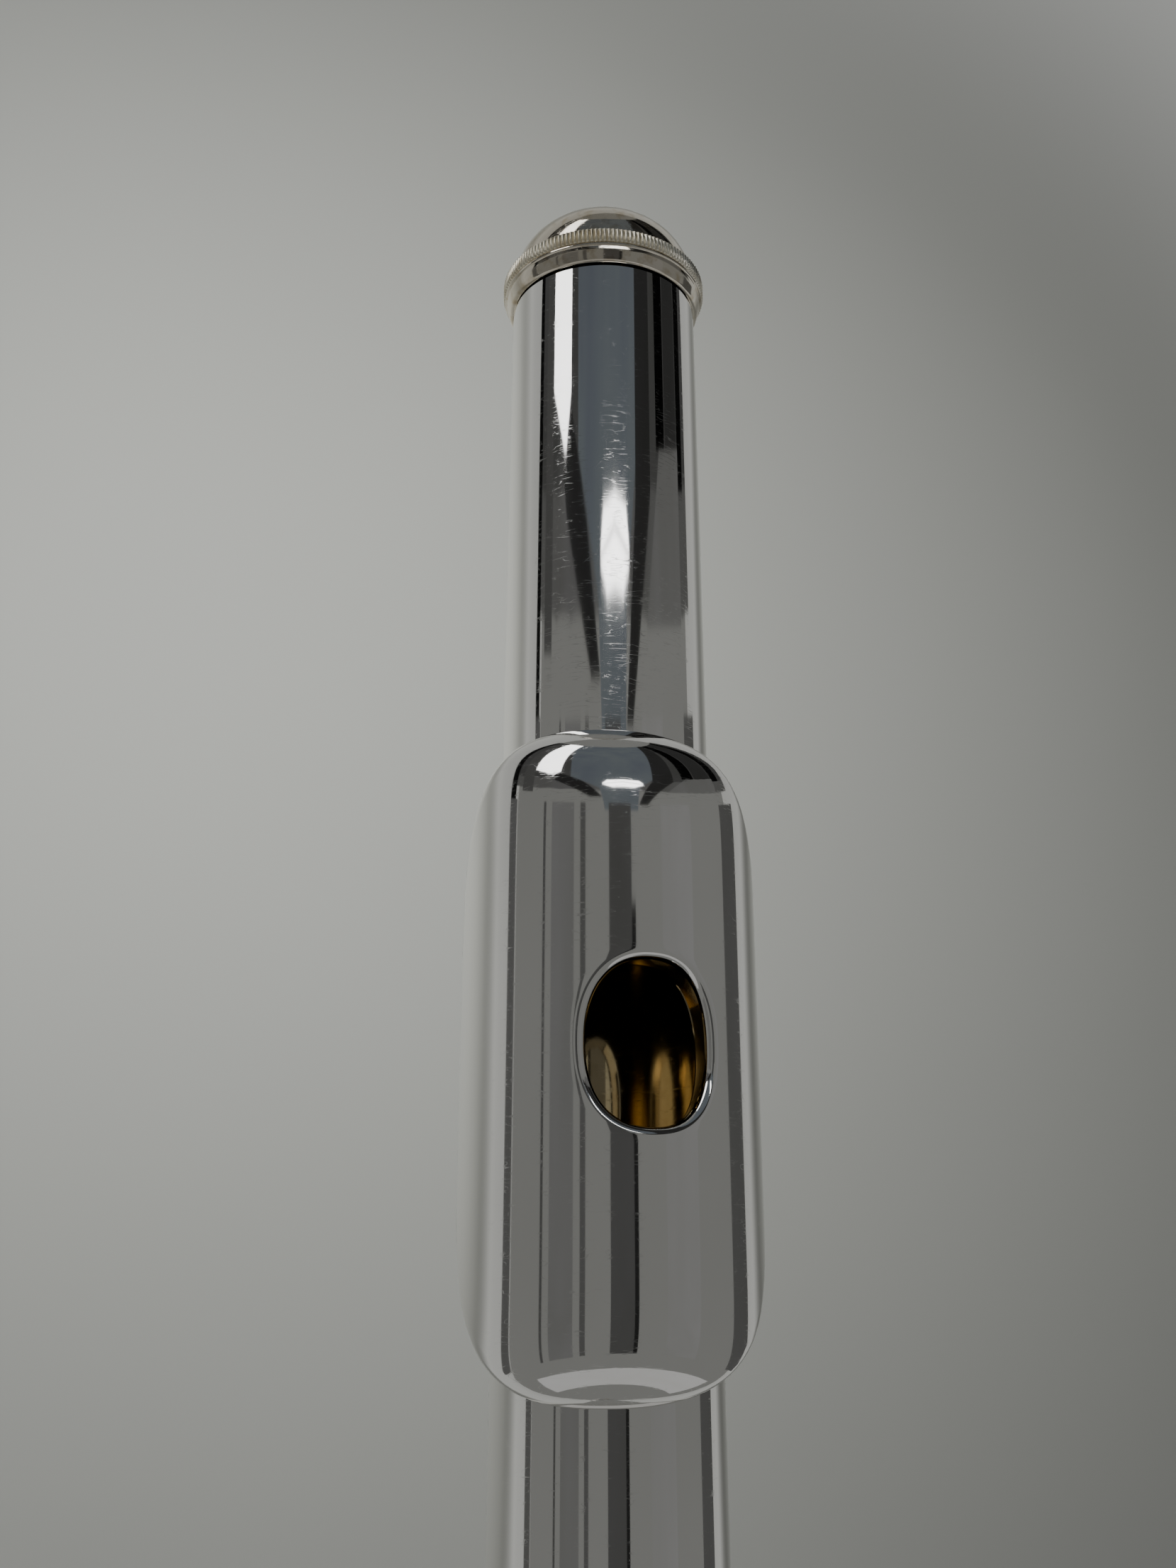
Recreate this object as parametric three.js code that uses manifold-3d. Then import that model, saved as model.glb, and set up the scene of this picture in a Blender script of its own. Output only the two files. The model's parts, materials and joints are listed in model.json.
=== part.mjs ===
// A concert flute in C with a C foot, closed-hole keys and offset G keys, in millimetres.
// While the pieces are made, x runs along the tube from the crown to the foot and is 0 at the embouchure
// hole, the tube's axis is y = z = 0, +z is the side of the embouchure hole, and the rods are on the
// player's side, -y. A polar angle is measured round the tube from +z towards -y, in degrees.
import * as THREE from "three";
import { mergeVertices } from "three/addons/utils/BufferGeometryUtils.js";
import Module from "manifold-3d";

const wasm = await Module();
wasm.setup();

// ---------- Driving dimensions ----------
const length = 603; // from the embouchure hole to the foot's open end
const bodyBoreR = 9.5; // bore of body and foot
const wall = 0.4; // wall of every tube
const seam = 0.2; // gap left at a soldered or seated face
const fit = 0.2; // gap round a tenon in its socket, and round the stopper's thread

// The places below are laid out for a flute of this length and bore, and are moved in proportion.
const layout = { length: 603, boreR: 9.5 };
const along = (x) => (x * length) / layout.length;
const grow = bodyBoreR / layout.boreR;

const head = { start: -72.67, end: along(177.5), crownBoreR: 8.35, taperPower: 0.8 };
head.tenonBoreR = bodyBoreR - 0.15; // the taper is steepest near the crown
const foot = { start: along(487), end: length, ringLength: 2.6, ringWall: 1.0 };
const body = { start: head.end + 0.5, end: foot.start - 0.5 };
const lastBodyPost = along(472.3);
const barrel = { start: head.end - 31.5, end: body.start + 12, wall: 0.9, ringWall: 1.5, ringLength: 2.6 };

const hole = { halfLength: 6.4, halfWidth: 5.15, power: 2.35 }; // embouchure hole
const plate = {
  halfLength: 26.2,
  sectionR: 12.3, // radius of the plate's outer face round its own section
  height: 13.3, // top of the plate above the tube's axis, at the hole
  thickness: 0.9,
  centreAngle: 13.5, // middle of its wrap, a little towards the player
  halfAngle: 90.5, // how far it wraps to each side of that middle
  power: 2.45, // of the plate's outline, 2 being an ellipse
  topPower: 8, // of its top's fall towards both ends: nearly level, then down onto the tube
};
const riserWall = 1.0;
const crown = { skirt: 1.45, groove: 0.3, knurl: 1.4, dome: 6.8, rimWall: 0.3, knurlR: 9.75, domeR: 8.75 };
crown.flare = 0.4; // how much wider the skirt is at the knurl than at its mouth
crown.wall = 0.9;
crown.teeth = 40;
const screw = { r: 1.9, bossR: 3.6, travel: 2.4 };
const reflectorX = -17.3; // face of the stopper's inner plate
const cork = { length: 16, plateThickness: 1.6, gap: 0.3 };

const bodyOuterR = bodyBoreR + wall;
const rimHeight = bodyOuterR + 1.5; // plane of every tone hole's rim above the tube's axis
const rimWall = 0.45;
const padGap = 0.15; // a closed pad stops this far above its rim
const pad = { thickness: 2.1, overlap: 1.1 };
const cup = { height: 3.0, lift: 0.6, wall: 0.45, padPlay: 0.25 };
const cupTop = rimHeight + cup.lift + cup.height;
const hingeTube = { r: 1.75, boreR: 1.2 };
const steelR = 0.95;
const endGap = 0.4; // between the ends of neighbouring hinge tubes and posts
const post = { ballR: 2.3, halfLength: 1.9, stem: 1.9 };
const openAngle = 10; // how far the standing-open keys are raised at rest
const arm = { width: 3.2, thickness: 1.3 };

// Hinge lines as [polar angle, distance from the tube's axis]
const hingeLines = {
  main: [51, 16.7 * grow],
  offsetG: [31, 16.7 * grow],
  trill: [84, 15.2 * grow],
  outer: [68.8, 19.94 * grow],
  thumb: [104, 16.7 * grow],
};

// Where each hinge line's posts stand along the tube
const postPlaces = {
  main: [...[229.6, 280.4, 322.4, 370.4, 420.6].map(along), lastBodyPost],
  offsetG: [321.6, 367.4].map(along),
  trill: [199.8, 427.4, 454.6].map(along),
  outer: [349.3, 378.6, 404.8].map(along),
  thumb: [247.8, 287.8].map(along),
  foot: [481.2, 539.6, 573.8].map(along),
};

// Tone holes: centre along the tube, radius of the hole, polar angle. A hole is matched to the bore.
const toneHole = (x, r, polar) => [along(x), r * grow, polar];
const toneHoles = {
  dsharp_trill: toneHole(206, 3.9, 33),
  d_trill: toneHole(220.5, 3.9, 33),
  c_sharp: toneHole(237, 3.5, 0),
  thumb: toneHole(271, 6.6, 155),
  bb: toneHole(290.5, 6.6, 0),
  a: toneHole(311.2, 6.6, 0),
  g_upper: toneHole(333.1, 6.9, -20),
  g_lower: toneHole(356.3, 6.9, -20),
  gsharp: toneHole(357, 6.6, 137.3),
  fsharp: toneHole(380.8, 7.4, 0),
  f: toneHole(406.9, 7.4, 0),
  e: toneHole(434.2, 7.4, 0),
  d: toneHole(461, 7.4, 0),
  foot_dsharp: toneHole(500, 7.4, 102),
  foot_csharp: toneHole(529.5, 7.4, 0),
  foot_c: toneHole(562, 7.4, 0),
};

// The foot's socket runs from behind the body's last post to just short of its first tone hole.
const footSocket = { start: lastBodyPost + 4.2, wall: 0.9, ringWall: 1.4, ringLength: 2.2 };
footSocket.end = toneHoles.foot_dsharp[0] - toneHoles.foot_dsharp[1] - rimWall - 0.65;

// Facets round each kind of turned piece
const sides = { tube: 28, chimney: 16, cup: 16, pad: 12, hinge: 10, rod: 8, post: 8 };

// ---------- Materials ----------
const metal = (color, roughness, metalness = 1) =>
  new THREE.MeshStandardMaterial({ color, roughness, metalness });
const silver = metal(0xd9d8d2, 0.12);
const crownSilver = metal(0xcfc6b4, 0.2);
const steel = metal(0x9a9ca0, 0.25);
const corkMaterial = metal(0xb98a5a, 0.9, 0);
const padSkin = metal(0xe3cf9c, 0.6, 0);
const rollerBlack = metal(0x1c1a1a, 0.3, 0);

// ---------- Geometry helpers ----------
const rad = THREE.MathUtils.degToRad;

// A closed three.js geometry as a manifold-3d solid.
function solid(geometry) {
  const bare = geometry.index ? geometry.toNonIndexed() : geometry.clone();
  bare.deleteAttribute("normal");
  bare.deleteAttribute("uv");
  const merged = mergeVertices(bare, 1e-4);
  const flip = (index) => index.map((_, i) => index[i - (i % 3) + (2 - (i % 3))]);
  const make = (triVerts) =>
    new wasm.Manifold(
      new wasm.Mesh({ numProp: 3, vertProperties: merged.attributes.position.array, triVerts }),
    );
  const index = new Uint32Array(merged.index.array);
  const made = make(index);
  return made.volume() < 0 ? make(flip(index)) : made;
}

// A manifold-3d solid as a three.js geometry.
function geometryOf(shape) {
  const mesh = shape.getMesh();
  const positions = new Float32Array(mesh.numVert * 3);
  for (let i = 0; i < mesh.numVert; i++) {
    positions.set(mesh.vertProperties.subarray(i * mesh.numProp, i * mesh.numProp + 3), i * 3);
  }
  return new THREE.BufferGeometry()
    .setAttribute("position", new THREE.BufferAttribute(positions, 3))
    .setIndex(new THREE.BufferAttribute(mesh.triVerts, 1));
}

const join = (...shapes) => shapes.reduce((a, b) => a.add(b));

// Turned about the x axis from a profile of [x, radius] points that closes on itself or on the axis.
function turned(profile, count) {
  const points = profile.map(([x, r]) => new THREE.Vector2(r, x));
  if (profile[0][1] > 0) points.push(points[0].clone());
  return new THREE.LatheGeometry(points, count).rotateZ(-Math.PI / 2);
}

// Turned about a line along z at x, from a profile of [radius, z] points that starts and ends on that line.
function turnedUp(x, profile, count) {
  const points = profile.map(([r, z]) => new THREE.Vector2(r, z));
  return new THREE.LatheGeometry(points, count).rotateX(Math.PI / 2).translate(x, 0, 0);
}

const rod = (x0, x1, r, count) => turned([[x0, 0], [x0, r], [x1, r], [x1, 0]], count);

// A flat outline of [y, z] points, carried along x from x0 to x1.
function slab(outline, x0, x1) {
  const shape = new THREE.Shape(outline.map(([y, z]) => new THREE.Vector2(y, z)));
  const geometry = new THREE.ExtrudeGeometry(shape, { depth: x1 - x0, bevelEnabled: false });
  const turn = new THREE.Matrix4().makeBasis(
    new THREE.Vector3(0, 1, 0),
    new THREE.Vector3(0, 0, 1),
    new THREE.Vector3(1, 0, 0),
  );
  return geometry.applyMatrix4(turn).translate(x0, 0, 0);
}

// A key's touch: a flat plate with rounded corners, from [x0, y0] to [x1, y1], whose underside is at z.
function touch(x0, x1, [y0, z], y1, thickness = 1.2) {
  const r = Math.min(x1 - x0, y1 - y0) * 0.45;
  const shape = new THREE.Shape();
  shape.absarc(x1 - r, y1 - r, r, 0, Math.PI / 2);
  shape.absarc(x0 + r, y1 - r, r, Math.PI / 2, Math.PI);
  shape.absarc(x0 + r, y0 + r, r, Math.PI, 1.5 * Math.PI);
  shape.absarc(x1 - r, y0 + r, r, 1.5 * Math.PI, 2 * Math.PI);
  const options = { depth: thickness, bevelEnabled: false, curveSegments: 3 };
  return new THREE.ExtrudeGeometry(shape, options).translate(0, 0, z);
}

// The point of the tube's section at a polar angle and distance, as [y, z].
const at = (polar, distance) => [-distance * Math.sin(rad(polar)), distance * Math.cos(rad(polar))];

// A bar of even thickness along a path of [y, z] points, as an outline for slab.
function barOutline(path, thickness) {
  const side = (sign) =>
    path.map(([y, z], i) => {
      const [y0, z0] = path[Math.max(0, i - 1)];
      const [y1, z1] = path[Math.min(path.length - 1, i + 1)];
      const step = (sign * thickness) / (2 * Math.hypot(y1 - y0, z1 - z0));
      return [y - (z1 - z0) * step, z + (y1 - y0) * step];
    });
  return [...side(1), ...side(-1).reverse()];
}

const flute = new THREE.Group();
const bodies = new Map();

// A named mesh on a body, which is a nested group.
function add(body, name, shape, material) {
  const geometry = shape instanceof THREE.BufferGeometry ? shape : geometryOf(shape);
  const mesh = new THREE.Mesh(geometry, material);
  mesh.name = name;
  bodies.get(body).add(mesh);
  return mesh;
}

// A group that stands for a rigid body, hung on its parent.
function rigidBody(name, parent = flute) {
  const group = new THREE.Group();
  parent.add(group);
  bodies.set(name, group);
  return group;
}

// ---------- Head joint ----------
const headBoreR = (x) => {
  const share = THREE.MathUtils.clamp((x - head.start) / (head.end - head.start), 0, 1);
  return head.crownBoreR + (head.tenonBoreR - head.crownBoreR) * share ** head.taperPower;
};
const headOuterR = (x) => headBoreR(x) + wall;

function superellipse(halfX, halfY, power, count) {
  return Array.from({ length: count }, (_, i) => {
    const t = (2 * Math.PI * i) / count;
    const bend = (v) => Math.sign(v) * Math.abs(v) ** (2 / power);
    return new THREE.Vector2(halfX * bend(Math.cos(t)), halfY * bend(Math.sin(t)));
  });
}

// An upright prism with the embouchure hole's outline, grown by some margin.
function holePrism(margin, z0, z1) {
  const outline = superellipse(hole.halfLength + margin, hole.halfWidth + margin, hole.power, 24);
  const options = { depth: z1 - z0, bevelEnabled: false };
  return solid(new THREE.ExtrudeGeometry(new THREE.Shape(outline), options).translate(0, 0, z0));
}

function headTube() {
  const stations = [0, 0.04, 0.12, 0.25, 0.45, 0.7, 1].map((s) => head.start + s * (head.end - head.start));
  const outer = stations.map((x) => [x, headOuterR(x)]);
  const inner = stations.map((x) => [x, headBoreR(x)]).reverse();
  return solid(turned([...outer, ...inner], sides.tube)).subtract(holePrism(0, 0, headOuterR(0) + 1));
}

// The lip plate's top above the tube's axis, at x; its two ends come down onto the tube.
function plateTop(x) {
  const end = headOuterR(Math.sign(x) * plate.halfLength) + seam + plate.thickness;
  return plate.height - (plate.height - end) * Math.abs(x / plate.halfLength) ** plate.topPower;
}

// The lip plate as a stack of sections across the tube, each an arc with the plate's thickness.
function plateShell(lift, thickness) {
  const stations = [0.998, 0.97, 0.9, 0.78, 0.6, 0.32];
  const xs = [...stations.map((s) => -s), 0, ...stations.slice().reverse()].map((s) => s * plate.halfLength);
  const steps = 14;
  const count = 2 * (steps + 1);
  const points = [];
  xs.forEach((x) => {
    const reach = (1 - Math.abs(x / plate.halfLength) ** plate.power) ** (1 / plate.power);
    const from = rad(plate.centreAngle + plate.halfAngle * reach);
    const to = rad(plate.centreAngle - plate.halfAngle * reach);
    const centre = plateTop(x) - plate.sectionR;
    const arc = (r) =>
      Array.from({ length: steps + 1 }, (_, i) => {
        const a = from + ((to - from) * i) / steps;
        return [x, -r * Math.sin(a), centre + r * Math.cos(a)];
      });
    points.push(...arc(plate.sectionR + lift), ...arc(plate.sectionR + lift - thickness).reverse());
  });
  const index = [];
  for (let s = 0; s + 1 < xs.length; s++) {
    for (let i = 0; i < count; i++) {
      const a = s * count + i;
      const b = s * count + ((i + 1) % count);
      index.push(a, b, a + count, b, b + count, a + count);
    }
  }
  const cap = (start, flip) => {
    for (let i = 0; i < steps; i++) {
      const quad = [start + i, start + i + 1, start + count - 2 - i, start + count - 1 - i];
      const faces = [quad[0], quad[2], quad[1], quad[0], quad[3], quad[2]];
      index.push(...(flip ? faces.reverse() : faces));
    }
  };
  cap(0, false);
  cap((xs.length - 1) * count, true);
  const geometry = new THREE.BufferGeometry()
    .setAttribute("position", new THREE.Float32BufferAttribute(points.flat(), 3))
    .setIndex(index);
  return solid(geometry);
}

rigidBody("head");
const aroundHead = solid(rod(-40, 40, headOuterR(0) + seam, sides.tube));
add("head", "head_tube", headTube(), silver);
add("head", "lip_plate", plateShell(0, plate.thickness).subtract(holePrism(0, 0, 20)), silver);
const riserBlock = holePrism(riserWall, headOuterR(0) - 4, plate.height)
  .subtract(holePrism(0, 0, 20))
  .subtract(aroundHead)
  .subtract(plateShell(6, 6 + plate.thickness + seam));
add("head", "riser", riserBlock, silver);

// ---------- Crown and stopper ----------
rigidBody("crown", bodies.get("head"));
const mouth = head.start - seam;
const knurlEnd = mouth - crown.skirt - crown.groove - crown.knurl;
const domeStart = knurlEnd - crown.groove;
const screwHoleEnd = domeStart - 1.5;

function crownShape() {
  const rimR = headOuterR(head.start) + crown.rimWall;
  const innerR = rimR - crown.wall;
  const dome = [0.2, 0.4, 0.6, 0.8, 0.93].map((s) => [
    domeStart - crown.dome * Math.sqrt(1 - s * s),
    crown.domeR * s,
  ]);
  const shell = turned(
    [
      [domeStart - crown.dome, 0],
      ...dome,
      [domeStart, crown.domeR],
      [domeStart, rimR],
      [knurlEnd + crown.knurl, rimR + crown.flare],
      [mouth - crown.skirt, rimR + crown.flare],
      [mouth, rimR],
      [mouth, innerR],
      [domeStart, innerR],
      [domeStart, screw.bossR],
      [mouth - 0.5, screw.bossR],
      [mouth - 0.5, 0],
    ],
    sides.tube,
  );
  const teeth = new THREE.Shape(
    Array.from({ length: 2 * crown.teeth }, (_, i) => {
      const r = i % 2 ? crown.knurlR : crown.knurlR - 0.3;
      const t = (Math.PI * i) / crown.teeth;
      return new THREE.Vector2(r * Math.cos(t), r * Math.sin(t));
    }),
  );
  const centre = new THREE.Path().absarc(0, 0, innerR + 0.2, 0, 2 * Math.PI, true);
  teeth.holes.push(centre);
  const options = { depth: crown.knurl, bevelEnabled: false, curveSegments: 16 };
  const knurl = new THREE.ExtrudeGeometry(teeth, options)
    .rotateY(Math.PI / 2)
    .translate(knurlEnd, 0, 0);
  const screwHole = rod(screwHoleEnd, mouth + 1, screw.r + fit, sides.hinge);
  return join(solid(shell), solid(knurl)).subtract(solid(screwHole));
}
add("crown", "crown", crownShape(), crownSilver);

rigidBody("stopper", bodies.get("head"));
const corkEnd = reflectorX - cork.plateThickness - seam;
const corkStart = corkEnd - cork.length;
const nutStart = corkStart - seam - cork.plateThickness;
const corkR = headBoreR(corkStart) - cork.gap;
const washer = (x0, x1, r) =>
  turned([[x0, screw.r + seam], [x0, r], [x1, r], [x1, screw.r + seam]], 2 * sides.hinge);
add("stopper", "stopper_screw", rod(screwHoleEnd + screw.travel + fit, corkEnd, screw.r, sides.hinge), steel);
add("stopper", "stopper_nut_plate", washer(nutStart, corkStart - seam, corkR - 0.3), steel);
add("stopper", "stopper_cork", washer(corkStart, corkEnd, corkR), corkMaterial);
add("stopper", "reflector_plate", rod(corkEnd + seam, reflectorX, corkR - 0.2, 2 * sides.hinge), silver);

// ---------- Body and foot tubes ----------
// A straight tube with a raised rim drawn up round each of its tone holes.
function drilledTube(x0, x1, holes, extra = []) {
  const upright = (r, top) => ([x, , polar]) =>
    solid(turnedUp(x, [[0, 0], [r, 0], [r, top], [0, top]], sides.chimney).rotateX(rad(polar)));
  const chimneys = holes.map((place) => upright(place[1] + rimWall, rimHeight)(place));
  const drills = holes.map((place) => upright(place[1], rimHeight + 1)(place));
  const outside = join(solid(rod(x0, x1, bodyOuterR, sides.tube)), ...extra, ...chimneys);
  return outside.subtract(join(solid(rod(x0 - 1, x1 + 1, bodyBoreR, sides.tube)), ...drills));
}

const holesOf = (onFoot) =>
  Object.entries(toneHoles)
    .filter(([name]) => name.startsWith("foot_") === onFoot)
    .map(([, place]) => place);

// A sleeve with a thicker ring at its mouth, and at its other end if asked, whose bore steps once.
function sleeve(shape, boreR, stepX, stepR, twoRings) {
  const outer = Math.max(boreR, stepR) + shape.wall;
  const ring = Math.max(boreR, stepR) + shape.ringWall;
  const tail = twoRings
    ? [[shape.end - shape.ringLength, outer], [shape.end - shape.ringLength, ring], [shape.end, ring]]
    : [[shape.end, outer]];
  const mouthRing = [[shape.start, ring], [shape.start + shape.ringLength, ring]];
  return turned(
    [
      [shape.start, boreR],
      ...mouthRing,
      [shape.start + shape.ringLength, outer],
      ...tail,
      [shape.end, stepR],
      [stepX, stepR],
      [stepX, boreR],
    ],
    sides.tube,
  );
}

rigidBody("body");
add("body", "body_tube", drilledTube(body.start, body.end, holesOf(false)), silver);
const tenonR = headOuterR(head.end);
add("body", "barrel", sleeve(barrel, tenonR + fit, body.start - seam, bodyOuterR + seam, true), silver);

rigidBody("foot");
const footRing = solid(rod(foot.end - foot.ringLength, foot.end, bodyOuterR + foot.ringWall, sides.tube));
add("foot", "foot_tube", drilledTube(foot.start, foot.end, holesOf(true), [footRing]), silver);
const socketBoreR = bodyOuterR + fit;

// ---------- Ribs, posts and steels ----------
// A post: a stem from the rib to the hinge line, and a bored ball on the line.
function postAt(x, line, ribPolar, standsOnR = bodyOuterR + seam) {
  const [y, z] = at(...hingeLines[line]);
  const ball = turned(
    [
      [x - post.halfLength, 0],
      [x - post.halfLength, post.ballR * 0.75],
      [x, post.ballR],
      [x + post.halfLength, post.ballR * 0.75],
      [x + post.halfLength, 0],
    ],
    sides.post,
  ).translate(0, y, z);
  const base = at(ribPolar, standsOnR + 0.4);
  const stem = slab(barOutline([base, [y, z]], post.stem), x - post.stem / 2, x + post.stem / 2);
  const bore = rod(x - 3, x + 3, steelR + seam, sides.rod).translate(0, y, z);
  return join(solid(ball), solid(stem)).subtract(solid(bore));
}

// A flat strip soldered along the tube.
function strip(x0, x1, polar, width, thickness = 0.9) {
  const bottom = bodyOuterR + seam;
  const outline = [
    [-width / 2, bottom],
    [width / 2, bottom],
    [width / 2, bottom + thickness],
    [-width / 2, bottom + thickness],
  ];
  return solid(slab(outline, x0, x1).rotateX(rad(polar)));
}

const posts = (line, ribPolar, xs = postPlaces[line]) => xs.map((x) => postAt(x, line, ribPolar));
const mainRib = join(
  strip(postPlaces.trill[0] - 2.5, postPlaces.main.at(-1) + 2.5, 71, 3.6),
  ...posts("main", 66),
  ...posts("trill", 78),
  ...posts("outer", 72),
);
add("body", "main_rib", mainRib, silver);

// A rib no longer than the line it carries.
const shortRib = (line, polar, width, ribPolar) => {
  const [first, last] = [postPlaces[line][0], postPlaces[line].at(-1)];
  return join(strip(first - 2.1, last + 2.1, polar, width), ...posts(line, ribPolar));
};
add("body", "g_rib", shortRib("offsetG", 42.5, 2.7, 42), silver);
add("body", "thumb_rib", shortRib("thumb", 98, 2.9, 98), silver);

const [socketPost, ...ribPosts] = postPlaces.foot;
const footStrip = strip(toneHoles.foot_dsharp[0] + toneHoles.foot_dsharp[1] + 2, ribPosts[1] + 2.3, 71, 3.6);
add("foot", "foot_rib", join(footStrip, ...posts("main", 66, ribPosts)), silver);
const socketSleeve = solid(sleeve(footSocket, socketBoreR, foot.start - seam, socketBoreR, false));
const onSocket = postAt(socketPost, "main", 66, socketBoreR + footSocket.wall - 0.6);
add("foot", "foot_socket", join(socketSleeve, onSocket), silver);

// A steel through the posts of a line, standing a little proud of the end ones.
function steelOn(line, first, last, r = steelR) {
  const reach = post.halfLength + endGap;
  return rod(first - reach, last + reach, r, sides.rod).translate(0, ...at(...hingeLines[line]));
}
const mainPosts = postPlaces.main;
add("body", "left_hand_steel", steelOn("main", mainPosts[0], mainPosts[2]), steel);
add("body", "right_hand_steel", steelOn("main", mainPosts[3], mainPosts[5]), steel);
add("body", "g_steel", steelOn("offsetG", ...postPlaces.offsetG), steel);
add("body", "thumb_steel", steelOn("thumb", ...postPlaces.thumb), steel);
add("body", "outer_steel", steelOn("outer", postPlaces.outer[0], postPlaces.outer[2]), steel);

// ---------- Keys ----------
// Every key is made in its closed pose round its own hinge line, on a group that stands on that line.
const cupRadius = (r) => r + pad.overlap + cup.padPlay + cup.wall;

// The cup over a tone hole: a domed cap with a recess that holds the pad.
function cupShape([x, r, polar]) {
  const outer = cupRadius(r);
  const bottom = rimHeight + cup.lift;
  return solid(
    turnedUp(
      x,
      [
        [0, cupTop - 0.9],
        [outer - cup.wall, cupTop - 0.9],
        [outer - cup.wall, bottom],
        [outer, bottom],
        [outer, cupTop - 1.1],
        [outer * 0.8, cupTop - 0.25],
        [0, cupTop + 0.1],
      ],
      sides.cup,
    ).rotateX(rad(polar)),
  );
}

function padShape([x, r, polar]) {
  const outer = r + pad.overlap;
  const bottom = rimHeight + padGap;
  const top = bottom + pad.thickness;
  return turnedUp(
    x,
    [[0, bottom], [outer - 0.5, bottom], [outer, bottom + 0.5], [outer, top], [0, top]],
    sides.pad,
  ).rotateX(rad(polar));
}

// The arm from a hinge line to the middle of a cup, worked out in the cup's own frame.
function cupArm([x, r, polar], line) {
  const [hingePolar, distance] = hingeLines[line];
  const [y, z] = at(hingePolar - polar, distance);
  const side = Math.sign(y);
  const edge = cupRadius(r);
  const path = [
    [y, z],
    [side * (Math.min(Math.abs(y) - 2.2, edge + 0.2) + 1.4), cupTop - 1.6],
    [side * (edge - 0.9), cupTop + 0.1],
    [-side * 0.8, cupTop + 0.2],
  ];
  const outline = barOutline(path, arm.thickness);
  return solid(slab(outline, x - arm.width / 2, x + arm.width / 2).rotateX(rad(polar)));
}

// A key on a hinge line: its hinge tubes as [from, to, radius], its cups, and any other geometries. The
// steel's bore is cut through it unless it is pinned to its steel.
function key(name, { line, tubes, holes = [], open = 0, extra = [], pinned = false, ownArm = false }) {
  const [y, z] = at(...hingeLines[line]);
  const group = rigidBody(name);
  group.position.set(0, y, z);
  group.rotation.x = rad(open);
  const places = holes.map((hole) => toneHoles[hole]);
  const onLine = ([x0, x1, r = hingeTube.r], count) =>
    solid(rod(x0, x1, r, count).translate(0, y, z));
  let shape = join(
    ...tubes.map((piece) => onLine(piece, piece[2] ? sides.rod : sides.hinge)),
    ...places.map(cupShape),
    ...(ownArm ? [] : places.map((place) => cupArm(place, line))),
    ...extra.map((geometry) => solid(geometry)),
  );
  if (!pinned) {
    const bore = [tubes[0][0] - 1, tubes.at(-1)[1] + 1, hingeTube.boreR];
    shape = shape.subtract(onLine(bore, sides.rod));
  }
  add(name, name, shape.translate([0, -y, -z]), silver);
  holes.forEach((hole, i) => {
    add(name, `${hole}_pad`, padShape(places[i]).translate(0, -y, -z), padSkin);
  });
}

// Ends of hinge tubes beside a post, or beside another tube's end at x.
const after = (place) => place + post.halfLength + endGap;
const before = (place) => place - post.halfLength - endGap;
const splitAt = (x) => [along(x) - endGap / 2, along(x) + endGap / 2];
const spans = (first, last, ...splits) => {
  const ends = [after(first), ...splits.flatMap(splitAt), before(last)];
  return Array.from({ length: splits.length + 1 }, (_, i) => [[ends[2 * i], ends[2 * i + 1]]]);
};

// Touch pieces are laid out across the tube's section for the layout's bore.
const spot = (y, z) => [y * grow, z * grow];
const hinge = (line) => at(...hingeLines[line]);
const bar = (path, x0, x1, thickness = arm.thickness) => slab(barOutline(path, thickness), x0, x1);
const armAt = (path, x) => bar(path, x - arm.width / 2, x + arm.width / 2);

// Left hand
const fingerDisc = (x, r) =>
  turnedUp(
    x,
    [[0, cupTop - 1], [r - 0.6, cupTop - 0.8], [r, cupTop - 0.2], [r - 0.4, cupTop + 0.4], [0, cupTop]],
    sides.cup,
  );
const [cTubes] = spans(mainPosts[0], mainPosts[1]);
const [bbTubes, aTubes] = spans(mainPosts[1], mainPosts[2], 300.6);
const discX = along(267.8);
const discArm = [hinge("main"), [-8.5 * grow, cupTop - 1.2], [-1, cupTop - 0.5]];
key("c_key", {
  line: "main",
  tubes: cTubes,
  holes: ["c_sharp"],
  open: openAngle,
  extra: [armAt(discArm, discX), fingerDisc(discX, 6.8)],
});
key("bb_key", { line: "main", tubes: bbTubes, holes: ["bb"], open: openAngle });
key("a_key", { line: "main", tubes: aTubes, holes: ["a"], open: openAngle });
const [gTubes] = spans(...postPlaces.offsetG);
key("g_key", { line: "offsetG", tubes: gTubes, holes: ["g_upper", "g_lower"], open: openAngle });

// The G sharp arm passes outside the trill line on its way down to its cup.
const gsharp = toneHoles.gsharp;
const gsharpPath = [
  hinge("outer"),
  at(88, 20.6 * grow),
  at(108, 18.4 * grow),
  at(gsharp[2] - 15, cupTop + 0.8),
  at(gsharp[2] + 3, cupTop + 0.2),
];
const [gsharpTubes] = spans(postPlaces.outer[0], postPlaces.outer[1]);
const [leverTubes] = spans(postPlaces.outer[1], postPlaces.outer[2]);
key("gsharp_key", {
  line: "outer",
  tubes: gsharpTubes,
  holes: ["gsharp"],
  ownArm: true,
  extra: [
    armAt(gsharpPath, gsharp[0]),
    armAt([hinge("outer"), spot(-20, 12), spot(-18, 17.3)], along(367.6)),
    touch(along(362.5), along(374.5), spot(-20.5, 16.8), -12.9 * grow),
  ],
});
key("side_bb_lever", {
  line: "outer",
  tubes: leverTubes,
  extra: [
    armAt([hinge("outer"), spot(-20, 10.5), spot(-18, 13.9)], along(390.8)),
    touch(along(386), along(397), spot(-20.4, 13.5), -14.2 * grow),
  ],
});

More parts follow.
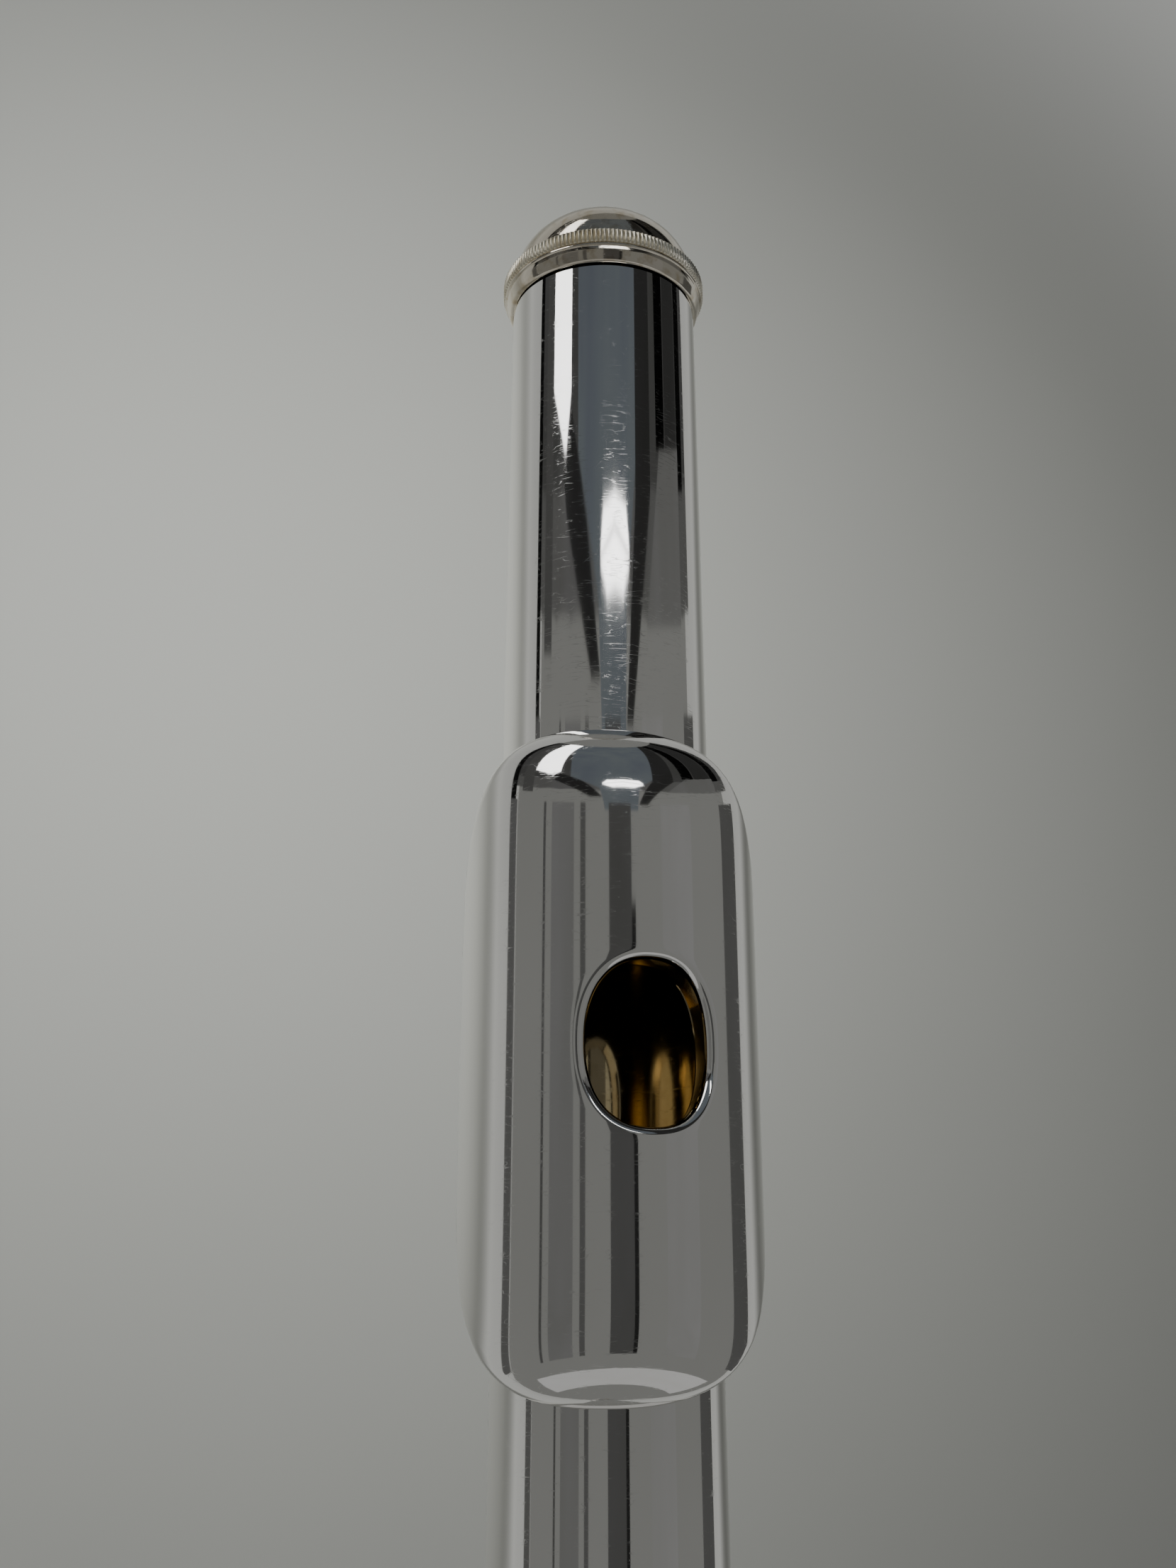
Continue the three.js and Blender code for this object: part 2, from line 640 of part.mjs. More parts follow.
// Trill keys: the steel is pinned to the D sharp key and carries the D key's tube.
const trillTouch = (x) => [
  armAt([hinge("trill"), spot(-19, 4.4), spot(-21.4, 7.6)], x),
  touch(x - 4.5, x + 4.5, spot(-26, 7.2), -18.6 * grow),
];
const [trillStart, trillPost, trillEnd] = postPlaces.trill;
const trillSplit = splitAt(213.7);
key("dsharp_trill_key", {
  line: "trill",
  tubes: [
    [trillStart - post.halfLength, trillEnd + post.halfLength, steelR],
    [after(trillStart), trillSplit[0]],
    [after(trillPost), before(trillEnd)],
  ],
  holes: ["dsharp_trill"],
  pinned: true,
  extra: trillTouch(along(447.4)),
});
key("d_trill_key", {
  line: "trill",
  tubes: [[trillSplit[1], before(trillPost)]],
  holes: ["d_trill"],
  extra: trillTouch(along(420.4)),
});

// Thumb keys, whose touches wrap round the back of the tube
const thumbTouch = (armX, x0, x1) => [
  armAt([hinge("thumb"), at(112, 18.6 * grow), at(122, 18.9 * grow)], armX),
  bar([at(116, 18.9 * grow), at(125, 19 * grow), at(134, 18.8 * grow), at(142, 18.4 * grow)], x0, x1, 1.2),
];
const [leverSpan, thumbSpan] = spans(...postPlaces.thumb, 261.9);
key("thumb_key", {
  line: "thumb",
  tubes: thumbSpan,
  holes: ["thumb"],
  open: -openAngle,
  extra: thumbTouch(along(264.6), along(257.6), along(268.4)),
});
key("thumb_bb_lever", {
  line: "thumb",
  tubes: leverSpan,
  open: -openAngle,
  extra: thumbTouch(along(253.6), along(246.4), along(256.6)),
});

// Right hand
const [fsharpTubes, fTubes] = spans(mainPosts[3], mainPosts[4], 393.7);
const [eTubes, dTubes] = spans(mainPosts[4], mainPosts[5], 447.5);
key("fsharp_key", { line: "main", tubes: fsharpTubes, holes: ["fsharp"], open: openAngle });
key("f_key", { line: "main", tubes: fTubes, holes: ["f"], open: openAngle });
key("e_key", { line: "main", tubes: eTubes, holes: ["e"], open: openAngle });
key("d_key", { line: "main", tubes: dTubes, holes: ["d"], open: openAngle });

// Foot: the steel is pinned to the low C key and carries the other two.
const roller = { x0: along(499.6), x1: along(512.4), r: 2.2, axleR: 0.7 };
[roller.y, roller.z] = spot(-11.9, 16.6);
const bracketY = roller.y - 3.4;
const [dsharpTubes, segment, csharpTubes] = spans(socketPost, ribPosts[0], 504.3, 509.7);
key("foot_dsharp_key", {
  line: "main",
  tubes: dsharpTubes,
  holes: ["foot_dsharp"],
  extra: [
    armAt([hinge("main"), spot(-9.6, 14.9), spot(-6, 15.2)], along(489.2)),
    touch(along(484), along(496.4), spot(-11, 14.7), 0),
  ],
});
key("foot_csharp_key", {
  line: "main",
  tubes: csharpTubes,
  holes: ["foot_csharp"],
  open: openAngle,
  extra: [
    armAt([hinge("main"), spot(-9.8, 13.4), spot(-6.8, 15)], along(512)),
    touch(along(499.4), along(514), spot(-8.2, 14.7), 0.2),
  ],
});
const lug = (x0, x1) => bar([[bracketY, roller.z - 0.4], [roller.y + 1.1, roller.z]], x0, x1, 2.2);
key("foot_c_key", {
  line: "main",
  tubes: [
    [socketPost - post.halfLength, ribPosts[1] + post.halfLength, steelR],
    ...segment,
    [after(ribPosts[0]), before(ribPosts[1])],
  ],
  holes: ["foot_c"],
  open: openAngle,
  pinned: true,
  extra: [
    bar([hinge("main"), spot(-15.6, 14), [bracketY + 0.2, roller.z - 0.2]], ...segment[0]),
    bar([[bracketY, roller.z - 1.5], [bracketY, roller.z + 0.7]], roller.x0 - 1.7, roller.x1 + 1.7, 1.1),
    lug(roller.x0 - 1.7, roller.x0 - 0.3),
    lug(roller.x1 + 0.3, roller.x1 + 1.7),
    rod(roller.x0 - 1, roller.x1 + 1, roller.axleR, sides.rod).translate(0, roller.y, roller.z),
  ],
});
const [hingeY, hingeZ] = hinge("main");
const drumBoreR = roller.axleR + 0.25;
const drum = turned(
  [
    [roller.x0, drumBoreR],
    [roller.x0, roller.r - 0.3],
    [roller.x0 + 0.5, roller.r],
    [roller.x1 - 0.5, roller.r],
    [roller.x1, roller.r - 0.3],
    [roller.x1, drumBoreR],
  ],
  sides.pad,
);
add("foot_c_key", "foot_roller", drum.translate(0, roller.y - hingeY, roller.z - hingeZ), rollerBlack);

// The finished flute lies with its lowest point at z = 0, centred over the origin.
flute.updateMatrixWorld(true);
const box = new THREE.Box3().setFromObject(flute, true);
flute.position.set(-(box.min.x + box.max.x) / 2, -(box.min.y + box.max.y) / 2, -box.min.z);
flute.updateMatrixWorld(true);

export default flute;
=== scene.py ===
"""A concert flute: the fine surfaces and finishes of every piece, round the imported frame.

Pieces are worked out in the flute's own layout, in millimetres: x runs along the tube from the crown to
the foot and is 0 at the embouchure hole, the tube's axis is y = z = 0, +z is the embouchure hole's side
and -y the player's side. A polar angle is measured round the tube from +z towards -y, in degrees.
"""

import json
import math

import bmesh
import bpy
import numpy as np
from mathutils import Matrix, Vector

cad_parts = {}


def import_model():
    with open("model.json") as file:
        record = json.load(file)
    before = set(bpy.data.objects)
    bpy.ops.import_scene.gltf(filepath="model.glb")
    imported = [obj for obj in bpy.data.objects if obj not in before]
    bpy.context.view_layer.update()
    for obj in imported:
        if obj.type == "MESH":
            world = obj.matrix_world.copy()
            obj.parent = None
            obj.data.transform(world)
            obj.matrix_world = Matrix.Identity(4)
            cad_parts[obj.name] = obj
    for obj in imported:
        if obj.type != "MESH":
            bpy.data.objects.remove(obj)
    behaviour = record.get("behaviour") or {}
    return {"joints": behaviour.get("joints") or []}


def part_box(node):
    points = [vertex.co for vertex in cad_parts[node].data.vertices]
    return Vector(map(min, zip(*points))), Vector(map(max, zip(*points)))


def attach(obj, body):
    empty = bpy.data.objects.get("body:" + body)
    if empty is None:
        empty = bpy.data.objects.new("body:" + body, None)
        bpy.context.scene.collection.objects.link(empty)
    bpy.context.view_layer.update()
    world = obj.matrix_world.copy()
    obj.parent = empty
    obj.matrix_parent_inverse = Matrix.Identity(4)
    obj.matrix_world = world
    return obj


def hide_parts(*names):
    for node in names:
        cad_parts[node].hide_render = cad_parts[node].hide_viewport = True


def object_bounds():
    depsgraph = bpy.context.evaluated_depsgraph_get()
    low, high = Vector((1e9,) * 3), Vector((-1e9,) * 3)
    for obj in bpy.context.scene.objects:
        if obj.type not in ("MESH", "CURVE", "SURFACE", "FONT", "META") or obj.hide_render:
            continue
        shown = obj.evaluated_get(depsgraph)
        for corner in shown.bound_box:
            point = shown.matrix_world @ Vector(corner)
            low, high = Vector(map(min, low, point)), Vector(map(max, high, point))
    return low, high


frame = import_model()
cad_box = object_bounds()

# ---------- The layout's place in the frame ----------
LENGTH = 603.0  # from the embouchure hole to the foot's open end
joints = {joint["name"]: joint for joint in frame["joints"]}
axis_place = joints["crown_turn"]["pos_m"]
ORIGIN = np.array([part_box("foot_tube")[1].x - LENGTH / 1000, axis_place[1], axis_place[2]])


def world(points):
    return np.asarray(points, float) / 1000 + ORIGIN


# ---------- Driving dimensions ----------
WALL = 0.4
SEAM = 0.2
FIT = 0.2
HEAD_START, HEAD_END = -72.67, 177.5
CROWN_BORE_R, TENON_BORE_R, TAPER_POWER = 8.35, 9.35, 0.8
BORE_R = 9.5
TUBE_R = BORE_R + WALL
BODY_START, BODY_END = 178.0, 486.5
FOOT_START, FOOT_END = 487.0, LENGTH
HOLE_HALF_X, HOLE_HALF_Y, HOLE_POWER = 6.4, 5.15, 2.35
PLATE = {"half_x": 26.2, "r": 12.3, "height": 13.3, "thickness": 0.9, "centre": 13.5, "half_angle": 90.5}
PLATE_POWER = 2.45
PLATE_TOP_POWER = 12
RIM_HEIGHT = TUBE_R + 1.5
RIM_WALL = 0.45
PAD_GAP, PAD_THICKNESS, PAD_OVERLAP = 0.15, 2.1, 1.1
CUP_LIFT, CUP_HEIGHT, CUP_WALL, PAD_PLAY = 0.6, 3.0, 0.45, 0.25
CUP_TOP = RIM_HEIGHT + CUP_LIFT + CUP_HEIGHT
HINGE_R, HINGE_BORE_R, STEEL_R = 1.75, 1.2, 0.95
END_GAP = 0.4
POST_R, POST_HALF, STEM_R = 2.3, 1.9, 0.95
OPEN = 10.0
ARM_WIDTH, ARM_THICKNESS = 3.2, 1.3
TOUCH_THICKNESS, TOUCH_DISH = 1.2, 0.25
STRIP_THICKNESS = 1.1
COLLAR_R, COLLAR_HALF = HINGE_R + 0.28, 0.45
PIPE_EDGE = 0.12

LINES = {
    "main": (51, 16.7),
    "offset_g": (31, 16.7),
    "trill": (84, 15.2),
    "outer": (68.8, 19.94),
    "thumb": (104, 16.7),
}
POSTS = {
    "main": (229.6, 280.4, 322.4, 370.4, 420.6, 472.3),
    "offset_g": (321.6, 367.4),
    "trill": (199.8, 427.4, 454.6),
    "outer": (349.3, 378.6, 404.8),
    "thumb": (247.8, 287.8),
    "foot": (481.2, 539.6, 573.8),
}
# Tone holes: centre along the tube, radius, polar angle
TONE_HOLES = {
    "dsharp_trill": (206, 3.9, 33),
    "d_trill": (220.5, 3.9, 33),
    "c_sharp": (237, 3.5, 0),
    "thumb": (271, 6.6, 155),
    "bb": (290.5, 6.6, 0),
    "a": (311.2, 6.6, 0),
    "g_upper": (333.1, 6.9, -20),
    "g_lower": (356.3, 6.9, -20),
    "gsharp": (357, 6.6, 137.3),
    "fsharp": (380.8, 7.4, 0),
    "f": (406.9, 7.4, 0),
    "e": (434.2, 7.4, 0),
    "d": (461, 7.4, 0),
    "foot_dsharp": (500, 7.4, 102),
    "foot_csharp": (529.5, 7.4, 0),
    "foot_c": (562, 7.4, 0),
}


# ---------- Shapes: a list of points and a list of faces ----------
def at(polar, distance):
    """The point of the tube's section at a polar angle and distance, as (y, z)."""
    angle = math.radians(polar)
    return (-distance * math.sin(angle), distance * math.cos(angle))


def merge(*shapes):
    points, faces = [], []
    for shape_points, shape_faces in shapes:
        start = len(points)
        points.extend(shape_points)
        faces.extend(tuple(start + i for i in face) for face in shape_faces)
    return points, faces


def rolled(shape, degrees, centre=(0.0, 0.0)):
    """The shape turned about a line along x that passes through centre, by a right-handed angle."""
    angle = math.radians(degrees)
    cos, sin = math.cos(angle), math.sin(angle)
    points = np.array(shape[0], float)
    y, z = points[:, 1] - centre[0], points[:, 2] - centre[1]
    points[:, 1] = centre[0] + y * cos - z * sin
    points[:, 2] = centre[1] + y * sin + z * cos
    return points.tolist(), shape[1]


def rounded(corners, radius, steps=4, closed=True):
    """An outline with its corners turned into short curves; an open outline keeps its two ends."""
    corners = [np.array(corner, float) for corner in corners]
    # A corner that repeats the one before it has no direction, so it is left out.
    corners = [corner for i, corner in enumerate(corners) if np.linalg.norm(corner - corners[i - 1]) > 1e-6]
    last = len(corners) - 1
    outline = []
    for i, corner in enumerate(corners):
        if not closed and i in (0, last):
            outline.append(tuple(corner))
            continue
        back = corners[i - 1] - corner
        ahead = corners[(i + 1) % len(corners)] - corner
        back_length, ahead_length = np.linalg.norm(back), np.linalg.norm(ahead)
        if np.dot(back, ahead) / (back_length * ahead_length) < -0.985:
            outline.append(tuple(corner))
            continue
        cut = min(radius, 0.45 * back_length, 0.45 * ahead_length)
        start = corner + back / back_length * cut
        end = corner + ahead / ahead_length * cut
        for step in range(steps + 1):
            u = step / steps
            outline.append(tuple((1 - u) ** 2 * start + 2 * u * (1 - u) * corner + u * u * end))
    return outline


def rings(loops, closed=False):
    """Loops of equal length joined one to the next, with a flat cap on both ends unless closed."""
    count = len(loops[0])
    points = [tuple(point) for loop in loops for point in loop]
    faces = []
    pairs = len(loops) if closed else len(loops) - 1
    for k in range(pairs):
        a, b = k * count, (k + 1) % len(loops) * count
        faces.extend((a + i, a + (i + 1) % count, b + (i + 1) % count, b + i) for i in range(count))
    if not closed:
        faces.append(tuple(reversed(range(count))))
        faces.append(tuple(range((len(loops) - 1) * count, len(loops) * count)))
    return points, faces


def turned(profile, sides, origin=(0, 0, 0), axis=(1, 0, 0)):
    """Turned about an axis from (distance along, radius) points, ends on the axis or closed on itself."""
    along = Vector(axis).normalized()
    across = Vector((0, 0, 1)) if abs(along.z) < 0.9 else Vector((1, 0, 0))
    across = (across - along * across.dot(along)).normalized()
    third = along.cross(across)
    angles = np.arange(sides) * 2 * math.pi / sides
    circle = np.outer(np.cos(angles), across) + np.outer(np.sin(angles), third)
    points, starts = [], []
    for distance, radius in profile:
        starts.append((len(points), radius > 1e-6))
        centre = np.array(origin, float) + np.array(along) * distance
        if radius > 1e-6:
            points.extend((centre + circle * radius).tolist())
        else:
            points.append(centre.tolist())
    faces = []
    loop = profile[0][1] > 1e-6
    for k in range(len(profile) if loop else len(profile) - 1):
        (a, a_ring), (b, b_ring) = starts[k], starts[(k + 1) % len(profile)]
        for i in range(sides):
            j = (i + 1) % sides
            if a_ring and b_ring:
                faces.append((a + i, a + j, b + j, b + i))
            elif a_ring:
                faces.append((a + i, a + j, b))
            elif b_ring:
                faces.append((a, b + j, b + i))
    return points, faces


def rod(x0, x1, r, sides=32, centre=(0, 0), edge=0.12):
    profile = [(x0, 0), (x0, r - edge), (x0 + edge, r), (x1 - edge, r), (x1, r - edge), (x1, 0)]
    return turned(profile, sides, (0, *centre))


def pipe(x0, x1, r, bore_r, sides=32, centre=(0, 0)):
    """A tube with slightly eased ends."""
    corners = [(x0, bore_r), (x0, r), (x1, r), (x1, bore_r)]
    return turned(rounded(corners, PIPE_EDGE, 2), sides, (0, *centre))


def bar(path, x0, x1, thickness=ARM_THICKNESS, tip=1.0, edge=0.35):
    """A bar with eased edges along a path of (y, z) points; its far end's width is tip times the rest."""
    route = np.array(rounded(path, 2.2, 5, closed=False))
    ahead = np.gradient(route, axis=0)
    ahead /= np.linalg.norm(ahead, axis=1)[:, None]
    middle, half = (x0 + x1) / 2, (x1 - x0) / 2
    edge = min(edge, thickness * 0.4)

    def loop(spot, direction, half_width, half_thickness):
        corners = [(-half_width, -half_thickness), (half_width, -half_thickness)]
        corners += [(half_width, half_thickness), (-half_width, half_thickness)]
        across = (-direction[1], direction[0])
        return [
            (middle + u, spot[0] + across[0] * v, spot[1] + across[1] * v)
            for u, v in rounded(corners, edge, 3)
        ]

    loops = [loop(route[0] - ahead[0] * edge, ahead[0], half - edge, thickness / 2 - edge * 0.8)]
    for k, (spot, direction) in enumerate(zip(route, ahead)):
        share = k / (len(route) - 1)
        loops.append(loop(spot, direction, half * (1 + (tip - 1) * share), thickness / 2))
    end_half = half * tip - edge
    loops.append(loop(route[-1] + ahead[-1] * edge, ahead[-1], end_half, thickness / 2 - edge * 0.8))
    return rings(loops)


def arm_at(path, x, tip=0.8):
    return bar(path, x - ARM_WIDTH / 2, x + ARM_WIDTH / 2, ARM_THICKNESS, tip)


def touch(x0, x1, near, far_y):
    """A key's touch: a thin plate with rounded corners and an eased, slightly crowned top."""
    y0, z = near
    r = min(x1 - x0, far_y - y0) * 0.42
    edge = 0.38

    def loop(inset, height):
        corners = [(x0 + inset, y0 + inset), (x1 - inset, y0 + inset)]
        corners += [(x1 - inset, far_y - inset), (x0 + inset, far_y - inset)]
        return [(u, v, z + height) for u, v in rounded(corners, r, 9)]

    levels = [(1.0, 0.05), (edge, 0.0), (edge * 0.3, edge * 0.3), (0, edge)]
    top = TOUCH_THICKNESS
    levels += [(0, top - edge), (edge * 0.3, top - edge * 0.3), (edge, top), (1.0, top + TOUCH_DISH * 0.4)]
    levels += [(r * 0.6, top + TOUCH_DISH * 0.8), (r * 0.9, top + TOUCH_DISH)]
    return rings([loop(*level) for level in levels])


# ---------- Materials ----------
def node_tree(name):
    material = bpy.data.materials.new(name)
    material.use_nodes = True
    tree = material.node_tree
    return material, tree, tree.nodes["Principled BSDF"]


def add_node(tree, kind, values=None, **settings):
    node = tree.nodes.new("ShaderNode" + kind)
    for setting, value in settings.items():
        setattr(node, setting, value)
    for socket, value in (values or {}).items():
        node.inputs[socket].default_value = value
    return node


def maths(tree, operation, a, b=None, clamp=False):
    node = add_node(tree, "Math", operation=operation, use_clamp=clamp)
    for socket, value in zip(node.inputs, (a, b)):
        if hasattr(value, "is_output"):
            tree.links.new(value, socket)
        elif value is not None:
            socket.default_value = value
    return node.outputs[0]


def noise(tree, vector, scale, detail=2.0, stretch=None, turn=0.0, roughness=0.5):
    """A noise value in object space, optionally stretched and turned; scale is in repeats a metre."""
    mapping = add_node(tree, "Mapping")
    mapping.inputs["Scale"].default_value = stretch or (1, 1, 1)
    mapping.inputs["Rotation"].default_value = (turn * 0.7, turn * 0.4, turn)
    tree.links.new(vector, mapping.inputs["Vector"])
    texture = add_node(tree, "TexNoise", {"Scale": scale, "Detail": detail, "Roughness": roughness})
    tree.links.new(mapping.outputs[0], texture.inputs["Vector"])
    return texture.outputs["Fac"]


def ramp(tree, value, stops):
    node = add_node(tree, "ValToRGB")
    elements = node.color_ramp.elements
    while len(elements) < len(stops):
        elements.new(0.5)
    for element, (place, color) in zip(elements, stops):
        element.position = place
        element.color = (*color, 1.0) if len(color) == 3 else (color[0],) * 3 + (1.0,)
    tree.links.new(value, node.inputs[0])
    return node.outputs["Color"]


def hairlines(tree, vector, turn, scale, width):
    """Short curved hairline scratches: contour lines of one noise, broken up by another."""
    field = noise(tree, vector, scale, 1.0, (1.0, 0.16, 0.16), turn)
    away = maths(tree, "ABSOLUTE", maths(tree, "SUBTRACT", field, 0.5))
    line = maths(tree, "SUBTRACT", 1.0, maths(tree, "DIVIDE", away, width, clamp=True), clamp=True)
    breaks = noise(tree, vector, scale * 0.5, 2.0, (1, 1, 1), turn + 2.1)
    mask = maths(tree, "MULTIPLY", maths(tree, "SUBTRACT", breaks, 0.5, clamp=True), 8.0, clamp=True)
    return maths(tree, "MULTIPLY", line, mask)


# Each direction of hairlines: its turn in radians, how fine it is and its width.
SCRATCHES = ((0.06, 2300, 0.018), (-0.22, 1700, 0.012), (0.33, 1300, 0.009), (1.1, 900, 0.006))


def polished_metal(name, light, dark, base_roughness=0.05, smudge=0.09, scratches=0.5, tarnish=0.0):
    """Polished plate: wiping smudges, hairline scratches in several directions and a little tarnish."""
    material, tree, shader = node_tree(name)
    shader.inputs["Metallic"].default_value = 1.0
    place = add_node(tree, "TexCoord").outputs["Object"]
    cloud = noise(tree, place, 55, 5.0, (0.5, 1, 1))
    tone = ramp(tree, cloud, [(0.34, dark), (0.62, light)])
    color = tone
    if tarnish:
        spots = noise(tree, place, 900, 4.0)
        stained = (1 - tarnish, 1 - tarnish * 1.25, 1 - tarnish * 1.7)
        stain = ramp(tree, spots, [(0.5, (1, 1, 1)), (0.74, stained)])
        mix = add_node(tree, "MixRGB", {"Fac": 1.0}, blend_type="MULTIPLY")
        tree.links.new(tone, mix.inputs["Color1"])
        tree.links.new(stain, mix.inputs["Color2"])
        color = mix.outputs[0]
    tree.links.new(color, shader.inputs["Base Color"])
    lines = None
    for turn, scale, width in SCRATCHES:
        layer = hairlines(tree, place, turn, scale, width)
        lines = layer if lines is None else maths(tree, "MAXIMUM", lines, layer)
    wiping = noise(tree, place, 30, 6.0, (0.6, 1.0, 1.6), 0.8, 0.62)
    film = maths(tree, "MULTIPLY", maths(tree, "SUBTRACT", wiping, 0.42, clamp=True), smudge * 3.2)
    rough = maths(tree, "ADD", maths(tree, "MULTIPLY", lines, 0.5 * scratches), film)
    tree.links.new(maths(tree, "ADD", rough, base_roughness), shader.inputs["Roughness"])
    bump = add_node(tree, "Bump", {"Strength": 0.12, "Distance": 0.00001})
    tree.links.new(maths(tree, "MULTIPLY", lines, -scratches), bump.inputs["Height"])
    tree.links.new(bump.outputs[0], shader.inputs["Normal"])
    return material


def plain_surface(name, low, high, scale, roughness, bump_distance, coat=0.0):
    """A surface with a fine grain in its colour, roughness and relief, for what isn't metal."""
    material, tree, shader = node_tree(name)
    place = add_node(tree, "TexCoord").outputs["Object"]
    grain = noise(tree, place, scale, 6.0, None, 0.4, 0.65)
    tree.links.new(ramp(tree, grain, [(0.3, low), (0.68, high)]), shader.inputs["Base Color"])
    spread = maths(tree, "MULTIPLY", grain, 0.25)
    tree.links.new(maths(tree, "ADD", spread, roughness - 0.12), shader.inputs["Roughness"])
    shader.inputs["Coat Weight"].default_value = coat
    bump = add_node(tree, "Bump", {"Strength": 0.6, "Distance": bump_distance})
    tree.links.new(grain, bump.inputs["Height"])
    tree.links.new(bump.outputs[0], shader.inputs["Normal"])
    return material


silver = polished_metal("silver", (0.93, 0.92, 0.90), (0.87, 0.86, 0.84), 0.03, 0.05, 0.3)
keywork_silver = polished_metal("keywork_silver", (0.93, 0.92, 0.90), (0.84, 0.83, 0.81), 0.07, 0.1, 0.4)
bore_silver = polished_metal("bore_silver", (1.0, 0.84, 0.52), (0.92, 0.70, 0.38), 0.06, 0.08, 0.3, 0.1)
riser_silver = polished_metal("riser_silver", (0.88, 0.80, 0.66), (0.74, 0.64, 0.48), 0.05, 0.09, 0.3, 0.2)
crown_silver = polished_metal("crown_silver", (0.86, 0.81, 0.72), (0.72, 0.66, 0.56), 0.08, 0.12, 0.4, 0.25)
knurl_silver = polished_metal("knurl_silver", (1.0, 0.96, 0.84), (0.90, 0.83, 0.66), 0.36, 0.15, 0.3, 0.2)
steel = polished_metal("steel", (0.66, 0.67, 0.69), (0.50, 0.51, 0.53), 0.16, 0.2, 0.8)
cork = plain_surface("cork", (0.30, 0.17, 0.08), (0.74, 0.55, 0.34), 900, 0.85, 0.0002)
pad_skin = plain_surface("pad_skin", (0.80, 0.68, 0.44), (0.93, 0.85, 0.66), 700, 0.55, 0.00006)
BLACK_LOW, BLACK_HIGH = (0.010, 0.009, 0.009), (0.030, 0.027, 0.026)
black_roller = plain_surface("black_roller", BLACK_LOW, BLACK_HIGH, 500, 0.28, 0.00002, coat=0.3)


# ---------- Making the objects ----------
def link(name, data):
    item = bpy.data.objects.new(name, data)
    bpy.context.scene.collection.objects.link(item)
    return item


def mesh_object(name, shape, sharp_angle=38.0):
    mesh = bpy.data.meshes.new(name)
    mesh.from_pydata(world(shape[0]).tolist(), [], shape[1])
    work = bmesh.new()
    work.from_mesh(mesh)
    bmesh.ops.recalc_face_normals(work, faces=work.faces)
    work.to_mesh(mesh)
    work.free()
    smooth(mesh, sharp_angle)
    return link(name, mesh)


def smooth(mesh, sharp_angle):
    mesh.polygons.foreach_set("use_smooth", [True] * len(mesh.polygons))
    mesh.set_sharp_from_angle(angle=math.radians(sharp_angle))
    mesh.update()


def combine(base, others, operation, sharp_angle=38.0):
    """Joins other objects to the base or cuts them from it, and removes them."""
    for other in others:
        modifier = base.modifiers.new(operation.lower(), "BOOLEAN")
        modifier.operation = operation
        modifier.solver = "MANIFOLD"
        modifier.object = other
    bpy.context.view_layer.update()
    graph = bpy.context.evaluated_depsgraph_get()
    made = bpy.data.meshes.new_from_object(base.evaluated_get(graph))
    base.modifiers.clear()
    old = base.data
    base.data = made
    bpy.data.meshes.remove(old)
    for other in others:
        bpy.data.objects.remove(other)
    smooth(made, sharp_angle)
    return base


def place_piece(item, body, slot, material, *replaced, inner=None, inner_when=None):
    """Gives a piece its finish and its body, and hides the CAD nodes it stands for."""
    item.data.materials.clear()
    item.data.materials.append(material)
    if inner:
        item.data.materials.append(inner)
        for polygon in item.data.polygons:
            centre = (np.array(polygon.center) - ORIGIN) * 1000
            polygon.material_index = 1 if inner_when(centre, polygon.normal) else 0
    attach(item, body)
    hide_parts(*replaced)
    return item


def make(name, shape, body, slot, material, *replaced, sharp_angle=38.0):
    return place_piece(mesh_object(name, shape, sharp_angle), body, slot, material, *replaced)


# ---------- Head joint ----------
def head_bore_r(x):
    share = min(max((x - HEAD_START) / (HEAD_END - HEAD_START), 0.0), 1.0)
    return CROWN_BORE_R + (TENON_BORE_R - CROWN_BORE_R) * share**TAPER_POWER


def head_outer_r(x):
    return head_bore_r(x) + WALL


def superellipse(half_x, half_y, power, count):
    """Points of a superellipse at even directions from its middle."""
    points = []
    for k in range(count):
        angle = 2 * math.pi * k / count
        c, s = math.cos(angle), math.sin(angle)
        reach = (abs(c / half_x) ** power + abs(s / half_y) ** power) ** (-1 / power)
        points.append((reach * c, reach * s))
    return points


def hole_outline(margin):
    return superellipse(HOLE_HALF_X + margin, HOLE_HALF_Y + margin, HOLE_POWER, 96)


def hole_prism(margin, z0, z1):
    return rings([[(x, y, z) for x, y in hole_outline(margin)] for z in (z0, z1)])


def inside_tube(bore_r):
    """Tells faces that look at the tube's axis from the rest."""

    def test(centre, normal):
        across = math.hypot(centre[1], centre[2])
        return across < bore_r(centre[0]) + 0.12 and normal.y * centre[1] + normal.z * centre[2] < 0

    return test


def make_head_tube():
    stations = [HEAD_START + (HEAD_END - HEAD_START) * (k / 60) ** 1.3 for k in range(61)]
    outer = [(x, head_outer_r(x)) for x in stations]
    outer[0] = (HEAD_START, head_outer_r(HEAD_START) - 0.1)
    outer.insert(1, (HEAD_START + 0.1, head_outer_r(HEAD_START)))
    inner = [(x, head_bore_r(x)) for x in reversed(stations)]
    tube = mesh_object("head_tube_skin", turned(outer + inner, 144), 30)
    prism = mesh_object("hole_cut", hole_prism(UNDERCUT, 0, head_outer_r(0) + 1))
    combine(tube, [prism], "DIFFERENCE", 30)
    place_piece(
        tube, "head", "silver", silver, "head_tube", inner=bore_silver, inner_when=inside_tube(head_bore_r)
    )


UNDERCUT = 0.35  # how much wider the embouchure hole is at the tube than at its edge
HOLE_EDGE_R = 0.75  # of the hole's rounded edge


def plate_top(x):
    end = head_outer_r(math.copysign(PLATE["half_x"], x)) + SEAM + PLATE["thickness"]
    return PLATE["height"] - (PLATE["height"] - end) * abs(x / PLATE["half_x"]) ** PLATE_TOP_POWER


